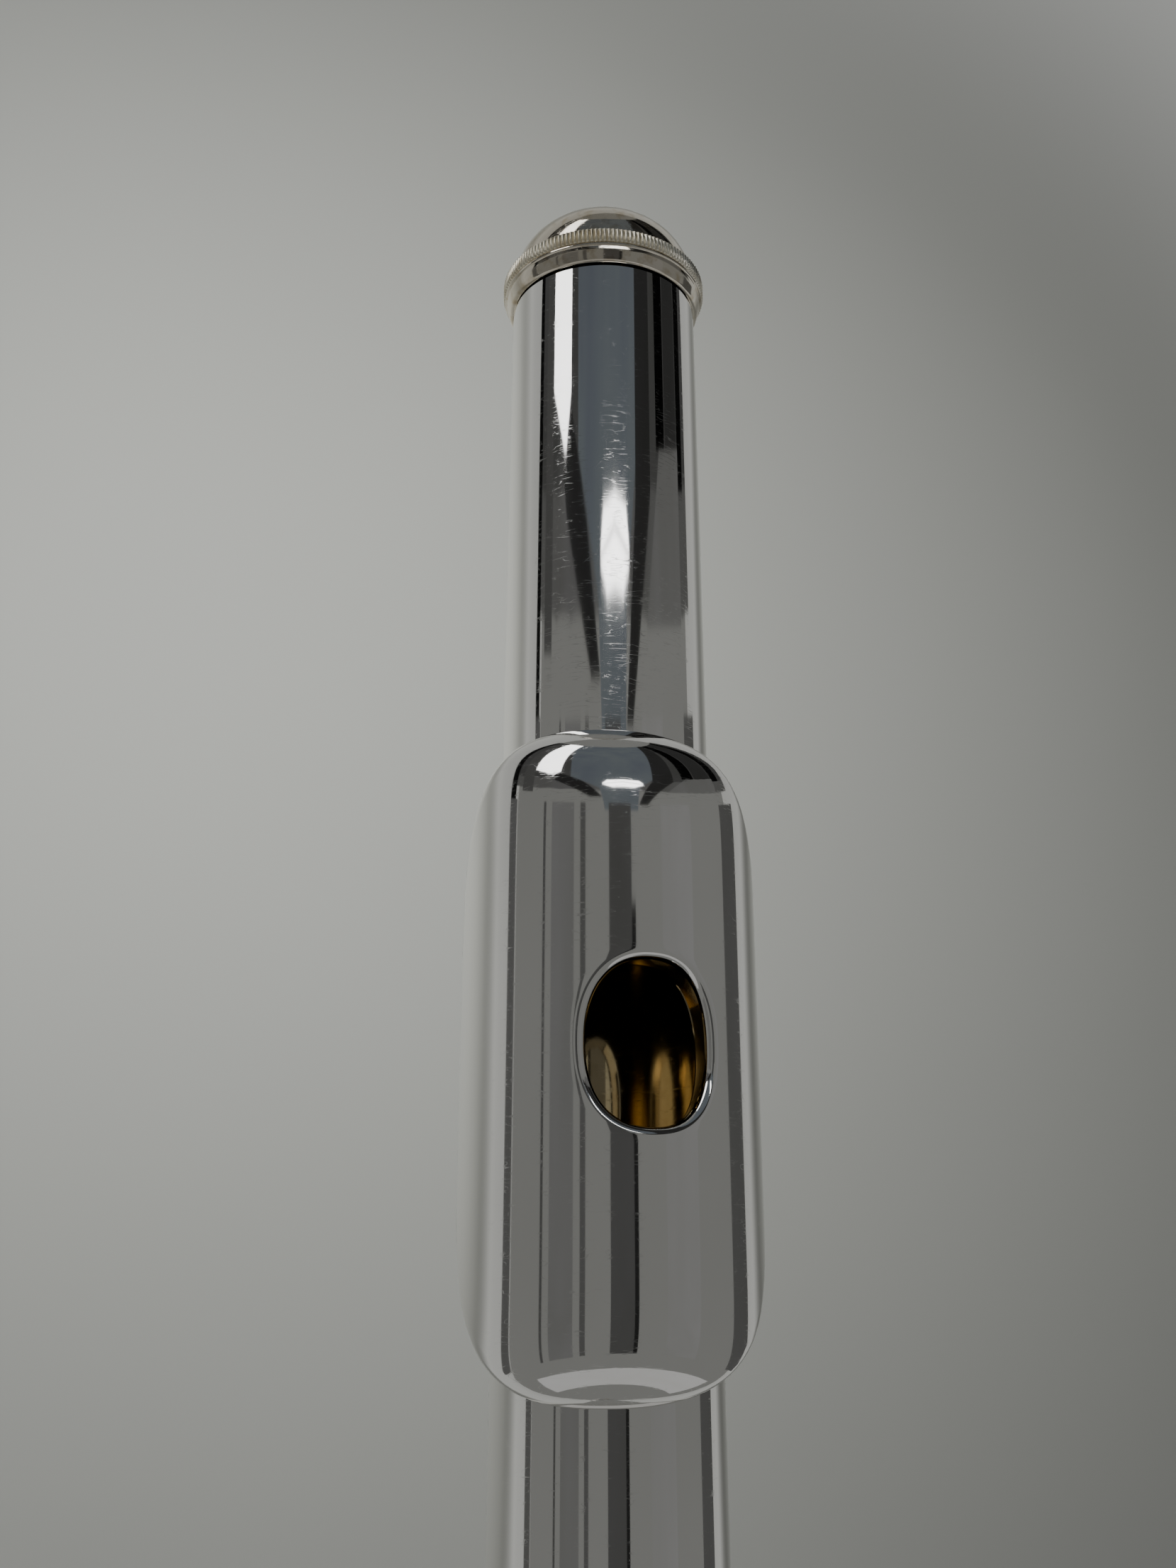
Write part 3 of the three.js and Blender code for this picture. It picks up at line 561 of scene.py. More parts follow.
def plate_point(x, angle, lift):
    """A point over the plate's outer face, at a polar angle in radians round the face's own middle."""
    radius = PLATE["r"] + lift
    return (x, -radius * math.sin(angle), plate_top(x) - PLATE["r"] + radius * math.cos(angle))


def make_lip_plate():
    count = 192
    rim = superellipse(PLATE["half_x"], math.radians(PLATE["half_angle"]) * PLATE["r"], PLATE_POWER, count)
    hole = superellipse(HOLE_HALF_X, HOLE_HALF_Y, HOLE_POWER, count)
    half = PLATE["thickness"] / 2

    def hole_loop(offset, lift):
        """A loop round the hole, offset outwards from its wall."""
        loop = []
        for k in range(count):
            x, y = hole[k]
            before, after = hole[k - 1], hole[(k + 1) % count]
            run = (after[0] - before[0], after[1] - before[1])
            size = math.hypot(*run)
            x, y = x + offset * run[1] / size, y - offset * run[0] / size
            loop.append(plate_point(x, -math.asin(y / PLATE["r"]), lift))
        return loop

    def grid_loop(share, lift, inset):
        """A loop between the hole's rounded edge, at share 0, and the rim, at 1, in the plate's own skin."""
        loop = []
        for k in range(count):
            hx, hy = hole[k]
            size = math.hypot(hx, hy)
            grown = (size + HOLE_EDGE_R) / size
            start = (hx * grown, math.asin(hy * grown / PLATE["r"]) * PLATE["r"])
            size = math.hypot(*rim[k])
            shrunk = (size - inset) / size
            end = (rim[k][0] * shrunk, rim[k][1] * shrunk - math.radians(PLATE["centre"]) * PLATE["r"])
            x = start[0] + (end[0] - start[0]) * share
            u = start[1] + (end[1] - start[1]) * share
            loop.append(plate_point(x, -u / PLATE["r"], lift))
        return loop

    rounding = [k / 8 * math.pi / 2 for k in range(8, 0, -1)]
    loops = [hole_loop(0.0, -PLATE["thickness"])]
    loops += [
        hole_loop(HOLE_EDGE_R * (1 - math.sin(a)), -HOLE_EDGE_R * (1 - math.cos(a))) for a in rounding
    ]
    steps = 40
    loops += [grid_loop(k / steps, 0.0, half) for k in range(steps + 1)]
    edge = [k / 8 * math.pi for k in range(1, 8)]
    loops += [grid_loop(1.0, half * (math.cos(a) - 1), half * (1 - math.sin(a))) for a in edge]
    loops += [grid_loop(k / steps, -PLATE["thickness"], half) for k in range(steps, -1, -4)]
    make("lip_plate_skin", rings(loops, closed=True), "head", "silver", silver, "lip_plate", sharp_angle=50)


def make_riser():
    """The chimney under the plate: its wall flares a little down to the tube, whose curve its foot meets."""

    def foot(x, y):
        return math.sqrt(head_outer_r(0) ** 2 - min(y * y, 60)) - 0.2

    def top(x, y):
        section = PLATE["r"] - PLATE["thickness"]
        return plate_top(x) - PLATE["r"] + math.sqrt(section**2 - y * y) + 0.05

    def faces_in(centre, normal):
        return normal.x * centre[0] + normal.y * centre[1] < 0

    walls = ((UNDERCUT, foot), (0.0, top), (1.0, top), (1.3, foot))
    loops = [[(x, y, height(x, y)) for x, y in hole_outline(margin)] for margin, height in walls]
    item = mesh_object("riser_wall", rings(loops, closed=True), 50)
    place_piece(item, "head", "silver", silver, "riser", inner=riser_silver, inner_when=faces_in)


# ---------- Crown and stopper ----------
CROWN_SKIRT, CROWN_GROOVE, CROWN_KNURL, CROWN_DOME = 1.45, 0.3, 1.4, 6.8
CROWN_RIM_WALL, CROWN_WALL, KNURL_R, DOME_R = 0.3, 0.9, 9.75, 8.75
CROWN_FLARE = 0.4
SCREW_R, SCREW_BOSS_R, SCREW_TRAVEL = 1.9, 3.6, 2.4
CROWN_MOUTH = HEAD_START - SEAM
KNURL_NEAR = CROWN_MOUTH - CROWN_SKIRT - CROWN_GROOVE
KNURL_FAR = KNURL_NEAR - CROWN_KNURL
DOME_START = KNURL_FAR - CROWN_GROOVE
SCREW_END = DOME_START - 1.5
KNURL_TEETH = 150


def make_crown():
    rim_r = head_outer_r(HEAD_START) + CROWN_RIM_WALL
    inner_r = rim_r - CROWN_WALL
    dome = []
    for k in range(1, 25):
        angle = k / 25 * math.pi / 2
        dome.append((DOME_START - CROWN_DOME * math.cos(angle), DOME_R * math.sin(angle)))

    def bead(x, r, size=0.2):
        return [
            (x - size * math.cos(k / 5 * math.pi), r + size * math.sin(k / 5 * math.pi)) for k in range(6)
        ]

    neck = rim_r - 0.05
    profile = [(DOME_START - CROWN_DOME, 0), *dome, (DOME_START - 0.02, DOME_R)]
    profile += bead(DOME_START + 0.24, neck + 0.12)
    profile += [(KNURL_FAR, neck), (KNURL_NEAR, neck)]
    wide = rim_r + CROWN_FLARE
    profile += bead(KNURL_NEAR + 0.2, wide, 0.14)
    skirt = [(KNURL_NEAR + 0.38, wide - 0.04), (KNURL_NEAR + 0.8, wide - 0.08), (CROWN_MOUTH, rim_r)]
    skirt.append((CROWN_MOUTH, inner_r))
    profile += rounded(skirt, 0.3, 4, closed=False)
    profile += [(DOME_START, inner_r), (DOME_START, SCREW_BOSS_R), (CROWN_MOUTH - 0.5, SCREW_BOSS_R)]
    profile += [(CROWN_MOUTH - 0.5, SCREW_R + FIT), (SCREW_END, SCREW_R + FIT), (SCREW_END, 0)]
    shell = mesh_object("crown_shell", turned(profile, 160), 32)
    place_piece(shell, "crown", "crown_silver", crown_silver, "crown")

    steps = 6
    count = KNURL_TEETH * steps
    depth = 0.2

    def knurl_loop(x, r, relief):
        loop = []
        for k in range(count):
            angle = 2 * math.pi * k / count
            tooth = 0.5 + 0.5 * math.cos(2 * math.pi * k / steps)
            reach = r - relief * depth * (1 - tooth**0.7)
            loop.append((x, -reach * math.sin(angle), reach * math.cos(angle)))
        return loop

    ends = ((0.0, neck - 0.05, 0), (0.0, KNURL_R - 0.16, 0.5), (0.14, KNURL_R, 1.0))
    loops = [knurl_loop(KNURL_FAR + inset, r, relief) for inset, r, relief in ends]
    loops.append(knurl_loop((KNURL_FAR + KNURL_NEAR) / 2, KNURL_R, 1.0))
    loops += [knurl_loop(KNURL_NEAR - inset, r, relief) for inset, r, relief in reversed(ends)]
    loops.append(knurl_loop(KNURL_NEAR, neck - 0.2, 0))
    loops.append(knurl_loop(KNURL_FAR, neck - 0.2, 0))
    knurl = mesh_object("crown_knurl", rings(loops, closed=True), 60)
    knurl.data.materials.append(knurl_silver)
    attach(knurl, "crown")


REFLECTOR_X, CORK_LENGTH, PLATE_THICKNESS, CORK_GAP = -17.3, 16.0, 1.6, 0.3


def make_stopper():
    cork_end = REFLECTOR_X - PLATE_THICKNESS - SEAM
    cork_start = cork_end - CORK_LENGTH
    cork_r = head_bore_r(cork_start) - CORK_GAP
    nut_start = cork_start - SEAM - PLATE_THICKNESS
    thread = []
    x, pitch = SCREW_END + SCREW_TRAVEL + FIT, 0.8
    start = x
    while x < nut_start - 3:
        thread += [(x, SCREW_R - 0.28), (x + pitch / 2, SCREW_R)]
        x += pitch
    profile = [(start, 0), *thread, (x, SCREW_R - 0.1), (cork_end, SCREW_R - 0.1), (cork_end, 0)]
    make("stopper_screw_thread", turned(profile, 32), "stopper", "steel", steel, "stopper_screw")

    def washer(x0, x1, r):
        corners = [(x0, SCREW_R + SEAM), (x0, r), (x1, r), (x1, SCREW_R + SEAM)]
        return turned(rounded(corners, 0.3, 3), 64)

    nut = washer(nut_start, cork_start - SEAM, cork_r - 0.3)
    make("stopper_nut", nut, "stopper", "steel", steel, "stopper_nut_plate")
    make("stopper_cork_body", washer(cork_start, cork_end, cork_r), "stopper", "cork", cork, "stopper_cork")
    disc_start, disc_r = cork_end + SEAM, cork_r - 0.2
    disc = [(disc_start, 0), (disc_start, disc_r), (REFLECTOR_X, disc_r), (REFLECTOR_X, 0)]
    face = turned(rounded(disc, 0.3, 3, closed=False), 64)
    make("reflector_face", face, "stopper", "silver", silver, "reflector_plate")


# ---------- Body and foot tubes ----------
def upright(x, polar, profile, sides):
    """Turned about a line square to the tube at x, from (radius, height) points."""
    direction = (0, *at(polar, 1))
    return turned([(height, r) for r, height in profile], sides, (x, 0, 0), direction)


def drilled_tube(name, x0, x1, holes, ring=None):
    tube = mesh_object(name, rod(x0, x1, TUBE_R, 128, edge=0.08), 30)
    chimneys, drills = [], []
    for x, r, polar in holes:
        lip = r + RIM_WALL
        wall = [(0, 4), (lip, 4), (lip, RIM_HEIGHT - 0.25), (lip - 0.1, RIM_HEIGHT - 0.06)]
        wall += [(lip - 0.2, RIM_HEIGHT), (0, RIM_HEIGHT)]
        chimneys.append(mesh_object("chimney", upright(x, polar, wall, 64)))
        drill = [(0, 3), (r, 3), (r, RIM_HEIGHT + 1), (0, RIM_HEIGHT + 1)]
        drills.append(mesh_object("drill", upright(x, polar, drill, 64)))
    if ring:
        chimneys.append(mesh_object("ring", ring))
    combine(tube, chimneys, "UNION", 30)
    bore = mesh_object("bore", rod(x0 - 1, x1 + 1, BORE_R, 128, edge=0.01))
    return combine(tube, [bore, *drills], "DIFFERENCE", 30)


def holes_of(on_foot):
    return [place for name, place in TONE_HOLES.items() if name.startswith("foot_") == on_foot]


def sleeve(start, end, bore_r, step_x, step_r, wall, ring_wall, ring_length, two_rings):
    outer = max(bore_r, step_r) + wall
    ring = max(bore_r, step_r) + ring_wall
    corners = [(start, bore_r), (start, ring), (start + ring_length, ring), (start + ring_length, outer)]
    if two_rings:
        corners += [(end - ring_length, outer), (end - ring_length, ring), (end, ring)]
    else:
        corners.append((end, outer))
    corners += [(end, step_r), (step_x, step_r), (step_x, bore_r)]
    return turned(rounded(corners, 0.28, 3), 128)


BARREL_START, BARREL_END = HEAD_END - 31.5, BODY_START + 12
SOCKET_START = POSTS["main"][-1] + 4.2
SOCKET_END = TONE_HOLES["foot_dsharp"][0] - TONE_HOLES["foot_dsharp"][1] - RIM_WALL - 0.65
SOCKET_WALL = 0.9


def make_tubes():
    body = drilled_tube("body_tube_skin", BODY_START, BODY_END, holes_of(False))
    bore = inside_tube(lambda x: BORE_R)
    place_piece(body, "body", "silver", silver, "body_tube", inner=bore_silver, inner_when=bore)
    bore_r = head_outer_r(HEAD_END) + FIT
    barrel = sleeve(BARREL_START, BARREL_END, bore_r, BODY_START - SEAM, TUBE_R + SEAM, 0.9, 1.5, 2.6, True)
    make("barrel_skin", barrel, "body", "silver", silver, "barrel", sharp_angle=50)
    end_ring = rod(FOOT_END - 2.6, FOOT_END, TUBE_R + 1.0, 128, edge=0.3)
    foot = drilled_tube("foot_tube_skin", FOOT_START, FOOT_END, holes_of(True), end_ring)
    place_piece(foot, "foot", "silver", silver, "foot_tube", inner=bore_silver, inner_when=bore)


# ---------- Ribs, posts and steels ----------
def post(x, line, rib_polar, stands_on=TUBE_R):
    """A post: a flanged stem on the rib and a bored ball on the hinge line."""
    y, z = at(*LINES[line])
    ball = []
    for k in range(13):
        share = -1 + k / 6
        ball.append((x + POST_HALF * share, POST_R * math.sqrt(1 - 0.4375 * share * share)))
    ball += [(x + POST_HALF, STEEL_R + SEAM), (x - POST_HALF, STEEL_R + SEAM)]
    base_y, base_z = at(rib_polar, stands_on + 0.6)
    direction = Vector((0, y - base_y, z - base_z))
    reach = direction.length - POST_R * 0.72
    flange = 2 * STEM_R
    stem = [(0, 0), (0, flange), (0.45, flange), (0.8, flange * 0.86), (1.2, STEM_R * 1.25)]
    stem += [(max(1.6, reach * 0.5), STEM_R), (reach - 0.3, STEM_R * 1.1), (reach, STEM_R * 1.25), (reach, 0)]
    return merge(
        turned(ball, 32, (0, y, z)),
        turned(stem, 24, (x, base_y, base_z), direction),
    )


def strip(x0, x1, polar, width):
    """A strip that follows the tube's curve, with eased edges."""
    half = math.degrees(width / 2 / TUBE_R)
    low, high = TUBE_R - 0.02, TUBE_R + STRIP_THICKNESS
    steps = 8
    bottom = [(polar + half * (2 * k / steps - 1), low) for k in range(steps + 1)]
    top = [(polar + (half - 1.2) * (1 - 2 * k / steps), high) for k in range(steps + 1)]
    side = half - 0.3
    loop = [*bottom, (polar + side, high - 0.25), *top, (polar - side, high - 0.25)]
    section = [at(angle, radius) for angle, radius in loop]
    return rings([[(x, y, z) for y, z in section] for x in (x0, x1)])


def screw_head(x, line, facing):
    """A slotted screw head let into a post's outer face."""
    y, z = at(*LINES[line])
    face = x + facing * (POST_HALF + 0.28)
    back = x + facing * (POST_HALF - 0.3)
    r, slot, depth = 1.25, 0.2, 0.22
    halves = []
    for side in (1, -1):
        outline = []
        start = math.asin(slot / r)
        for k in range(17):
            angle = start + (math.pi - 2 * start) * k / 16
            outline.append((side * r * math.cos(angle), side * r * math.sin(angle)))
        loops = []
        for level, inset in ((back, 0), (face - facing * 0.12, 0), (face, 0.1)):
            keep = 1 - inset / r
            loops.append([(level, y + u * keep, z + v * keep) for u, v in outline])
        halves.append(rings(loops))
    slot_floor = face - facing * depth
    plug = [(back, 0), (back, r * 0.97), (slot_floor, r * 0.97), (slot_floor, 0)]
    floor = turned(plug, 32, (0, y, z))
    return merge(*halves, floor)


def posts(line, rib_polar, places=None):
    return [post(x, line, rib_polar) for x in places or POSTS[line]]


def make_ribs():
    main_rib = merge(
        strip(POSTS["trill"][0] - 2.5, POSTS["main"][-1] + 2.5, 71, 3.6),
        *posts("main", 66),
        *posts("trill", 78),
        *posts("outer", 72),
    )
    make("main_rib_strip", main_rib, "body", "silver", keywork_silver, "main_rib")
    for line, polar, width, rib_polar, node in (
        ("offset_g", 42.5, 2.7, 42, "g_rib"),
        ("thumb", 98, 2.9, 98, "thumb_rib"),
    ):
        first, last = POSTS[line][0], POSTS[line][-1]
        shape = merge(strip(first - 2.1, last + 2.1, polar, width), *posts(line, rib_polar))
        make(node + "_strip", shape, "body", "silver", keywork_silver, node)
    socket_post, *rib_posts = POSTS["foot"]
    hole_x, hole_r, _ = TONE_HOLES["foot_dsharp"]
    shape = merge(strip(hole_x + hole_r + 2, rib_posts[1] + 2.3, 71, 3.6), *posts("main", 66, rib_posts))
    make("foot_rib_strip", shape, "foot", "silver", keywork_silver, "foot_rib")
    bore_r = TUBE_R + FIT
    ring = sleeve(SOCKET_START, SOCKET_END, bore_r, FOOT_START - SEAM, bore_r, SOCKET_WALL, 1.4, 2.2, False)
    shape = merge(ring, post(socket_post, "main", 66, bore_r + SOCKET_WALL - 0.8))
    make("foot_socket_ring", shape, "foot", "silver", silver, "foot_socket")


def make_steels():
    reach = POST_HALF + END_GAP
    main = POSTS["main"]
    for node, line, first, last in (
        ("left_hand_steel", "main", main[0], main[2]),
        ("right_hand_steel", "main", main[3], main[5]),
        ("g_steel", "offset_g", *POSTS["offset_g"]),
        ("thumb_steel", "thumb", *POSTS["thumb"]),
        ("outer_steel", "outer", POSTS["outer"][0], POSTS["outer"][2]),
    ):
        core = rod(first - reach + 0.2, last + reach - 0.2, STEEL_R, 24, at(*LINES[line]))
        shape = merge(core, screw_head(first, line, -1), screw_head(last, line, 1))
        make(node + "_rod", shape, "body", "steel", steel, node)


# ---------- Keys ----------
def cup_r(r):
    return r + PAD_OVERLAP + PAD_PLAY + CUP_WALL


def cup_shape(place):
    """The cup over a tone hole: a turned cap with a crowned top, a fine step and a recess for the pad."""
    x, r, polar = place
    outer = cup_r(r)
    bottom = RIM_HEIGHT + CUP_LIFT
    profile = [(0, CUP_TOP - 0.9), (outer - CUP_WALL, CUP_TOP - 0.9), (outer - CUP_WALL, bottom + 0.1)]
    profile += [(outer - CUP_WALL + 0.1, bottom), (outer - 0.12, bottom), (outer, bottom + 0.12)]
    shoulder = CUP_TOP - 1.0
    for k in range(7):
        angle = k / 6 * math.pi / 2
        profile.append((outer - 0.55 + 0.55 * math.cos(angle), shoulder + 0.45 * math.sin(angle)))
    rim = outer - 0.75
    profile += [(rim, CUP_TOP - 0.62), (rim - 0.2, CUP_TOP - 0.52)]
    for k in range(1, 9):
        share = 1 - k / 8
        profile.append(((rim - 0.2) * share, CUP_TOP + 0.08 - 0.6 * share**2))
    return upright(x, polar, profile, 72)


def pad_shape(place):
    x, r, polar = place
    outer = r + PAD_OVERLAP
    bottom = RIM_HEIGHT + PAD_GAP
    top = bottom + PAD_THICKNESS
    profile = [(0, bottom + 0.12), (r - 0.9, bottom + 0.12), (r - 0.3, bottom + 0.16)]
    profile += [(r + 0.2, bottom + 0.1), (outer - 0.5, bottom), (outer - 0.18, bottom + 0.12)]
    profile += [(outer, bottom + 0.45), (outer, top), (0, top)]
    return upright(x, polar, profile, 64)


def cup_arm(place, line):
    """The arm from a hinge line to the middle of a cup, worked out in the cup's own frame."""
    x, r, polar = place
    hinge_polar, distance = LINES[line]
    y, z = at(hinge_polar - polar, distance)
    side = math.copysign(1, y)
    edge = cup_r(r)
    path = [
        (y, z),
        (side * (min(abs(y) - 2.2, edge + 0.2) + 1.4), CUP_TOP - 1.6),
        (side * (edge - 0.9), CUP_TOP + 0.1),
        (-side * 0.8, CUP_TOP + 0.2),
    ]
    return rolled(arm_at(path, x, 0.55), polar)


def collar(x, line):
    """A narrow turned ring on a hinge tube."""
    x0, x1 = x - COLLAR_HALF, x + COLLAR_HALF
    corners = [(x0, HINGE_BORE_R), (x0, COLLAR_R), (x1, COLLAR_R), (x1, HINGE_BORE_R)]
    return turned(rounded(corners, 0.3, 3), 32, (0, *at(*LINES[line])))


def key(name, line, tubes, holes=(), open_by=0.0, extra=(), pinned=None, own_arm=False):
    """A key at its rest pose, with a pad under each of its cups."""
    hinge = at(*LINES[line])
    places = [TONE_HOLES[hole] for hole in holes]
    shapes = [pipe(x0, x1, HINGE_R, HINGE_BORE_R, 36, hinge) for x0, x1 in tubes]
    for x0, x1 in tubes:
        if x1 - x0 > 6:
            shapes += [collar(x0 + 0.6, line), collar(x1 - 0.6, line)]
    if pinned:
        shapes.append(rod(pinned[0], pinned[1], STEEL_R, 24, hinge))
    shapes += [cup_shape(place) for place in places]
    if not own_arm:
        shapes += [cup_arm(place, line) for place in places]
    shapes += list(extra)
    shape = rolled(merge(*shapes), open_by, hinge)
    make(name + "_part", shape, name, "silver", keywork_silver, name)
    for hole, place in zip(holes, places):
        pad = rolled(pad_shape(place), open_by, hinge)
        make(hole + "_pad_disc", pad, name, "pad_skin", pad_skin, hole + "_pad")


def after(place):
    return place + POST_HALF + END_GAP


def before(place):
    return place - POST_HALF - END_GAP


def spans(first, last, *splits):
    """Hinge tubes between two posts, parted at each split."""
    ends = [after(first)]
    for split in splits:
        ends += [split - END_GAP / 2, split + END_GAP / 2]
    ends.append(before(last))
    return [[(ends[k], ends[k + 1])] for k in range(0, len(ends), 2)]


def finger_disc(x, r):
    profile = [(0, CUP_TOP - 1), (r - 0.6, CUP_TOP - 0.9), (r - 0.1, CUP_TOP - 0.5), (r, CUP_TOP - 0.2)]
    profile += [(r - 0.08, CUP_TOP + 0.15), (r - 0.4, CUP_TOP + 0.35)]
    for k in range(1, 8):
        share = 1 - k / 7
        profile.append(((r - 0.9) * share, CUP_TOP - 0.02 + 0.3 * share**2))
    return upright(x, 0, profile, 64)


def make_left_hand_keys():
    main = POSTS["main"]
    (c_tubes,) = spans(main[0], main[1])
    bb_tubes, a_tubes = spans(main[1], main[2], 300.6)
    disc_x = 267.8
    disc_arm = [at(*LINES["main"]), (-8.5, CUP_TOP - 1.2), (-1, CUP_TOP - 0.5)]
    key("c_key", "main", c_tubes, ["c_sharp"], OPEN, [arm_at(disc_arm, disc_x), finger_disc(disc_x, 6.8)])
    key("bb_key", "main", bb_tubes, ["bb"], OPEN)
    key("a_key", "main", a_tubes, ["a"], OPEN)
    (g_tubes,) = spans(*POSTS["offset_g"])
    key("g_key", "offset_g", g_tubes, ["g_upper", "g_lower"], OPEN)
    x, _, polar = TONE_HOLES["gsharp"]
    outer = at(*LINES["outer"])
    path = [outer, at(88, 20.6), at(108, 18.4), at(polar - 15, CUP_TOP + 0.8), at(polar + 3, CUP_TOP + 0.2)]
    (gsharp_tubes,) = spans(POSTS["outer"][0], POSTS["outer"][1])
    (lever_tubes,) = spans(POSTS["outer"][1], POSTS["outer"][2])
    gsharp_extra = [
        arm_at(path, x),
        arm_at([outer, (-20, 12), (-18, 17.3)], 367.6),
        touch(362.5, 374.5, (-20.5, 16.8), -12.9),
    ]
    key("gsharp_key", "outer", gsharp_tubes, ["gsharp"], extra=gsharp_extra, own_arm=True)
    lever_extra = [arm_at([outer, (-20, 10.5), (-18, 13.9)], 390.8), touch(386, 397, (-20.4, 13.5), -14.2)]
    key("side_bb_lever", "outer", lever_tubes, extra=lever_extra)


def make_trill_keys():
    hinge = at(*LINES["trill"])

    def trill_touch(x):
        return [arm_at([hinge, (-19, 4.4), (-21.4, 7.6)], x), touch(x - 4.5, x + 4.5, (-26, 7.2), -18.6)]

    start, middle, end = POSTS["trill"]
    split = 213.7
    tubes = [(after(start), split - END_GAP / 2), (after(middle), before(end))]
    steel_ends = (start - POST_HALF, end + POST_HALF)
    key("dsharp_trill_key", "trill", tubes, ["dsharp_trill"], 0, trill_touch(447.4), pinned=steel_ends)
    key("d_trill_key", "trill", [(split + END_GAP / 2, before(middle))], ["d_trill"], 0, trill_touch(420.4))


def make_thumb_keys():
    hinge = at(*LINES["thumb"])

    def thumb_touch(arm_x, x0, x1):
        wrap = [at(116, 18.9), at(125, 19), at(134, 18.8), at(142, 18.4)]
        return [arm_at([hinge, at(112, 18.6), at(122, 18.9)], arm_x), bar(wrap, x0, x1, 1.2)]

    lever_span, thumb_span = spans(*POSTS["thumb"], 261.9)
    key("thumb_key", "thumb", thumb_span, ["thumb"], -OPEN, thumb_touch(264.6, 257.6, 268.4))
    key("thumb_bb_lever", "thumb", lever_span, [], -OPEN, thumb_touch(253.6, 246.4, 256.6))


def make_right_hand_keys():
    main = POSTS["main"]
    fsharp_tubes, f_tubes = spans(main[3], main[4], 393.7)
    e_tubes, d_tubes = spans(main[4], main[5], 447.5)
    for name, tubes in (("fsharp", fsharp_tubes), ("f", f_tubes), ("e", e_tubes), ("d", d_tubes)):
        key(name + "_key", "main", tubes, [name], OPEN)


ROLLER = {"x0": 499.6, "x1": 512.4, "r": 2.2, "axle_r": 0.7, "y": -11.9, "z": 16.6}


def make_foot_keys():
    hinge = at(*LINES["main"])
    socket_post, *rib_posts = POSTS["foot"]
    dsharp_tubes, segment, csharp_tubes = spans(socket_post, rib_posts[0], 504.3, 509.7)
    dsharp_extra = [
        arm_at([hinge, (-9.6, 14.9), (-6, 15.2)], 489.2),
        touch(484, 496.4, (-11, 14.7), 0),
    ]
    key("foot_dsharp_key", "main", dsharp_tubes, ["foot_dsharp"], 0, dsharp_extra)
    csharp_extra = [
        arm_at([hinge, (-9.8, 13.4), (-6.8, 15)], 512),
        touch(499.4, 514, (-8.2, 14.7), 0.2),
    ]
    key("foot_csharp_key", "main", csharp_tubes, ["foot_csharp"], OPEN, csharp_extra)
    bracket_y = ROLLER["y"] - 3.4
    x0, x1, y, z = ROLLER["x0"], ROLLER["x1"], ROLLER["y"], ROLLER["z"]

    def lug(start, end):
        return bar([(bracket_y, z - 0.4), (y + 1.1, z)], start, end, 2.2)

    c_extra = [
        bar([hinge, (-15.6, 14), (bracket_y + 0.2, z - 0.2)], *segment[0]),
        bar([(bracket_y, z - 1.5), (bracket_y, z + 0.7)], x0 - 1.7, x1 + 1.7, 1.1),
        lug(x0 - 1.7, x0 - 0.3),
        lug(x1 + 0.3, x1 + 1.7),
        rod(x0 - 1, x1 + 1, ROLLER["axle_r"], 20, (y, z)),
    ]
    tubes = [*segment, (after(rib_posts[0]), before(rib_posts[1]))]
    steel_ends = (socket_post - POST_HALF, rib_posts[1] + POST_HALF)
    key("foot_c_key", "main", tubes, ["foot_c"], OPEN, c_extra, pinned=steel_ends)
    bore = ROLLER["axle_r"] + 0.25
    drum = [(x0, bore), (x0, ROLLER["r"] - 0.35), (x0 + 0.6, ROLLER["r"]), (x1 - 0.6, ROLLER["r"])]
    drum += [(x1, ROLLER["r"] - 0.35), (x1, bore)]
    shape = rolled(turned(rounded(drum, 0.35, 4), 48, (0, y, z)), OPEN, hinge)
    make("foot_roller_drum", shape, "roller", "black_roller", black_roller, "foot_roller")


# ---------- Stage, light and camera ----------
def glow(name, color, strength, spread=0.08):
    """A soft, slightly uneven glow for what the polished metal mirrors."""
    material, tree, shader = node_tree(name)
    tree.nodes.remove(shader)
    place = add_node(tree, "TexCoord").outputs["Object"]
    cloud = noise(tree, place, 2.5, 3.0)
    low = tuple(c * (1 - spread) for c in color)
    high = tuple(min(1.0, c * (1 + spread)) for c in color)
    emission = add_node(tree, "Emission", {"Strength": strength})
    tree.links.new(ramp(tree, cloud, [(0.3, low), (0.7, high)]), emission.inputs["Color"])
    tree.links.new(emission.outputs[0], tree.nodes["Material Output"].inputs["Surface"])
    return material


CARD_STEPS = 12


def card(name, corners, radius, material):
    """A long curved card seen in mirrors only. Its four corners are given as (angle, slope): the angle
    round the tube from +z towards +y, and how far along x it lies for each unit of distance."""
    steps = CARD_STEPS
    (a0, s0), (a1, s1), (a2, s2), (a3, s3) = corners
    points, faces = [], []
    for j in range(steps + 1):
        v = j / steps
        for i in range(steps + 1):
            u = i / steps
            angle = math.radians((a0 * (1 - u) + a1 * u) * (1 - v) + (a3 * (1 - u) + a2 * u) * v)
            slope = (s0 * (1 - u) + s1 * u) * (1 - v) + (s3 * (1 - u) + s2 * u) * v
            points.append((HEAD_X + slope * radius, math.sin(angle) * radius, math.cos(angle) * radius))
    for j in range(steps):
        for i in range(steps):
            a = j * (steps + 1) + i
            faces.append((a, a + 1, a + steps + 2, a + steps + 1))
    mesh = bpy.data.meshes.new(name)
    mesh.from_pydata((np.array(points) + ORIGIN).tolist(), [], faces)
    mesh.materials.append(material)
    item = link(name, mesh)
    item.visible_camera = False
    item.visible_diffuse = False
    item.visible_shadow = False
    return item
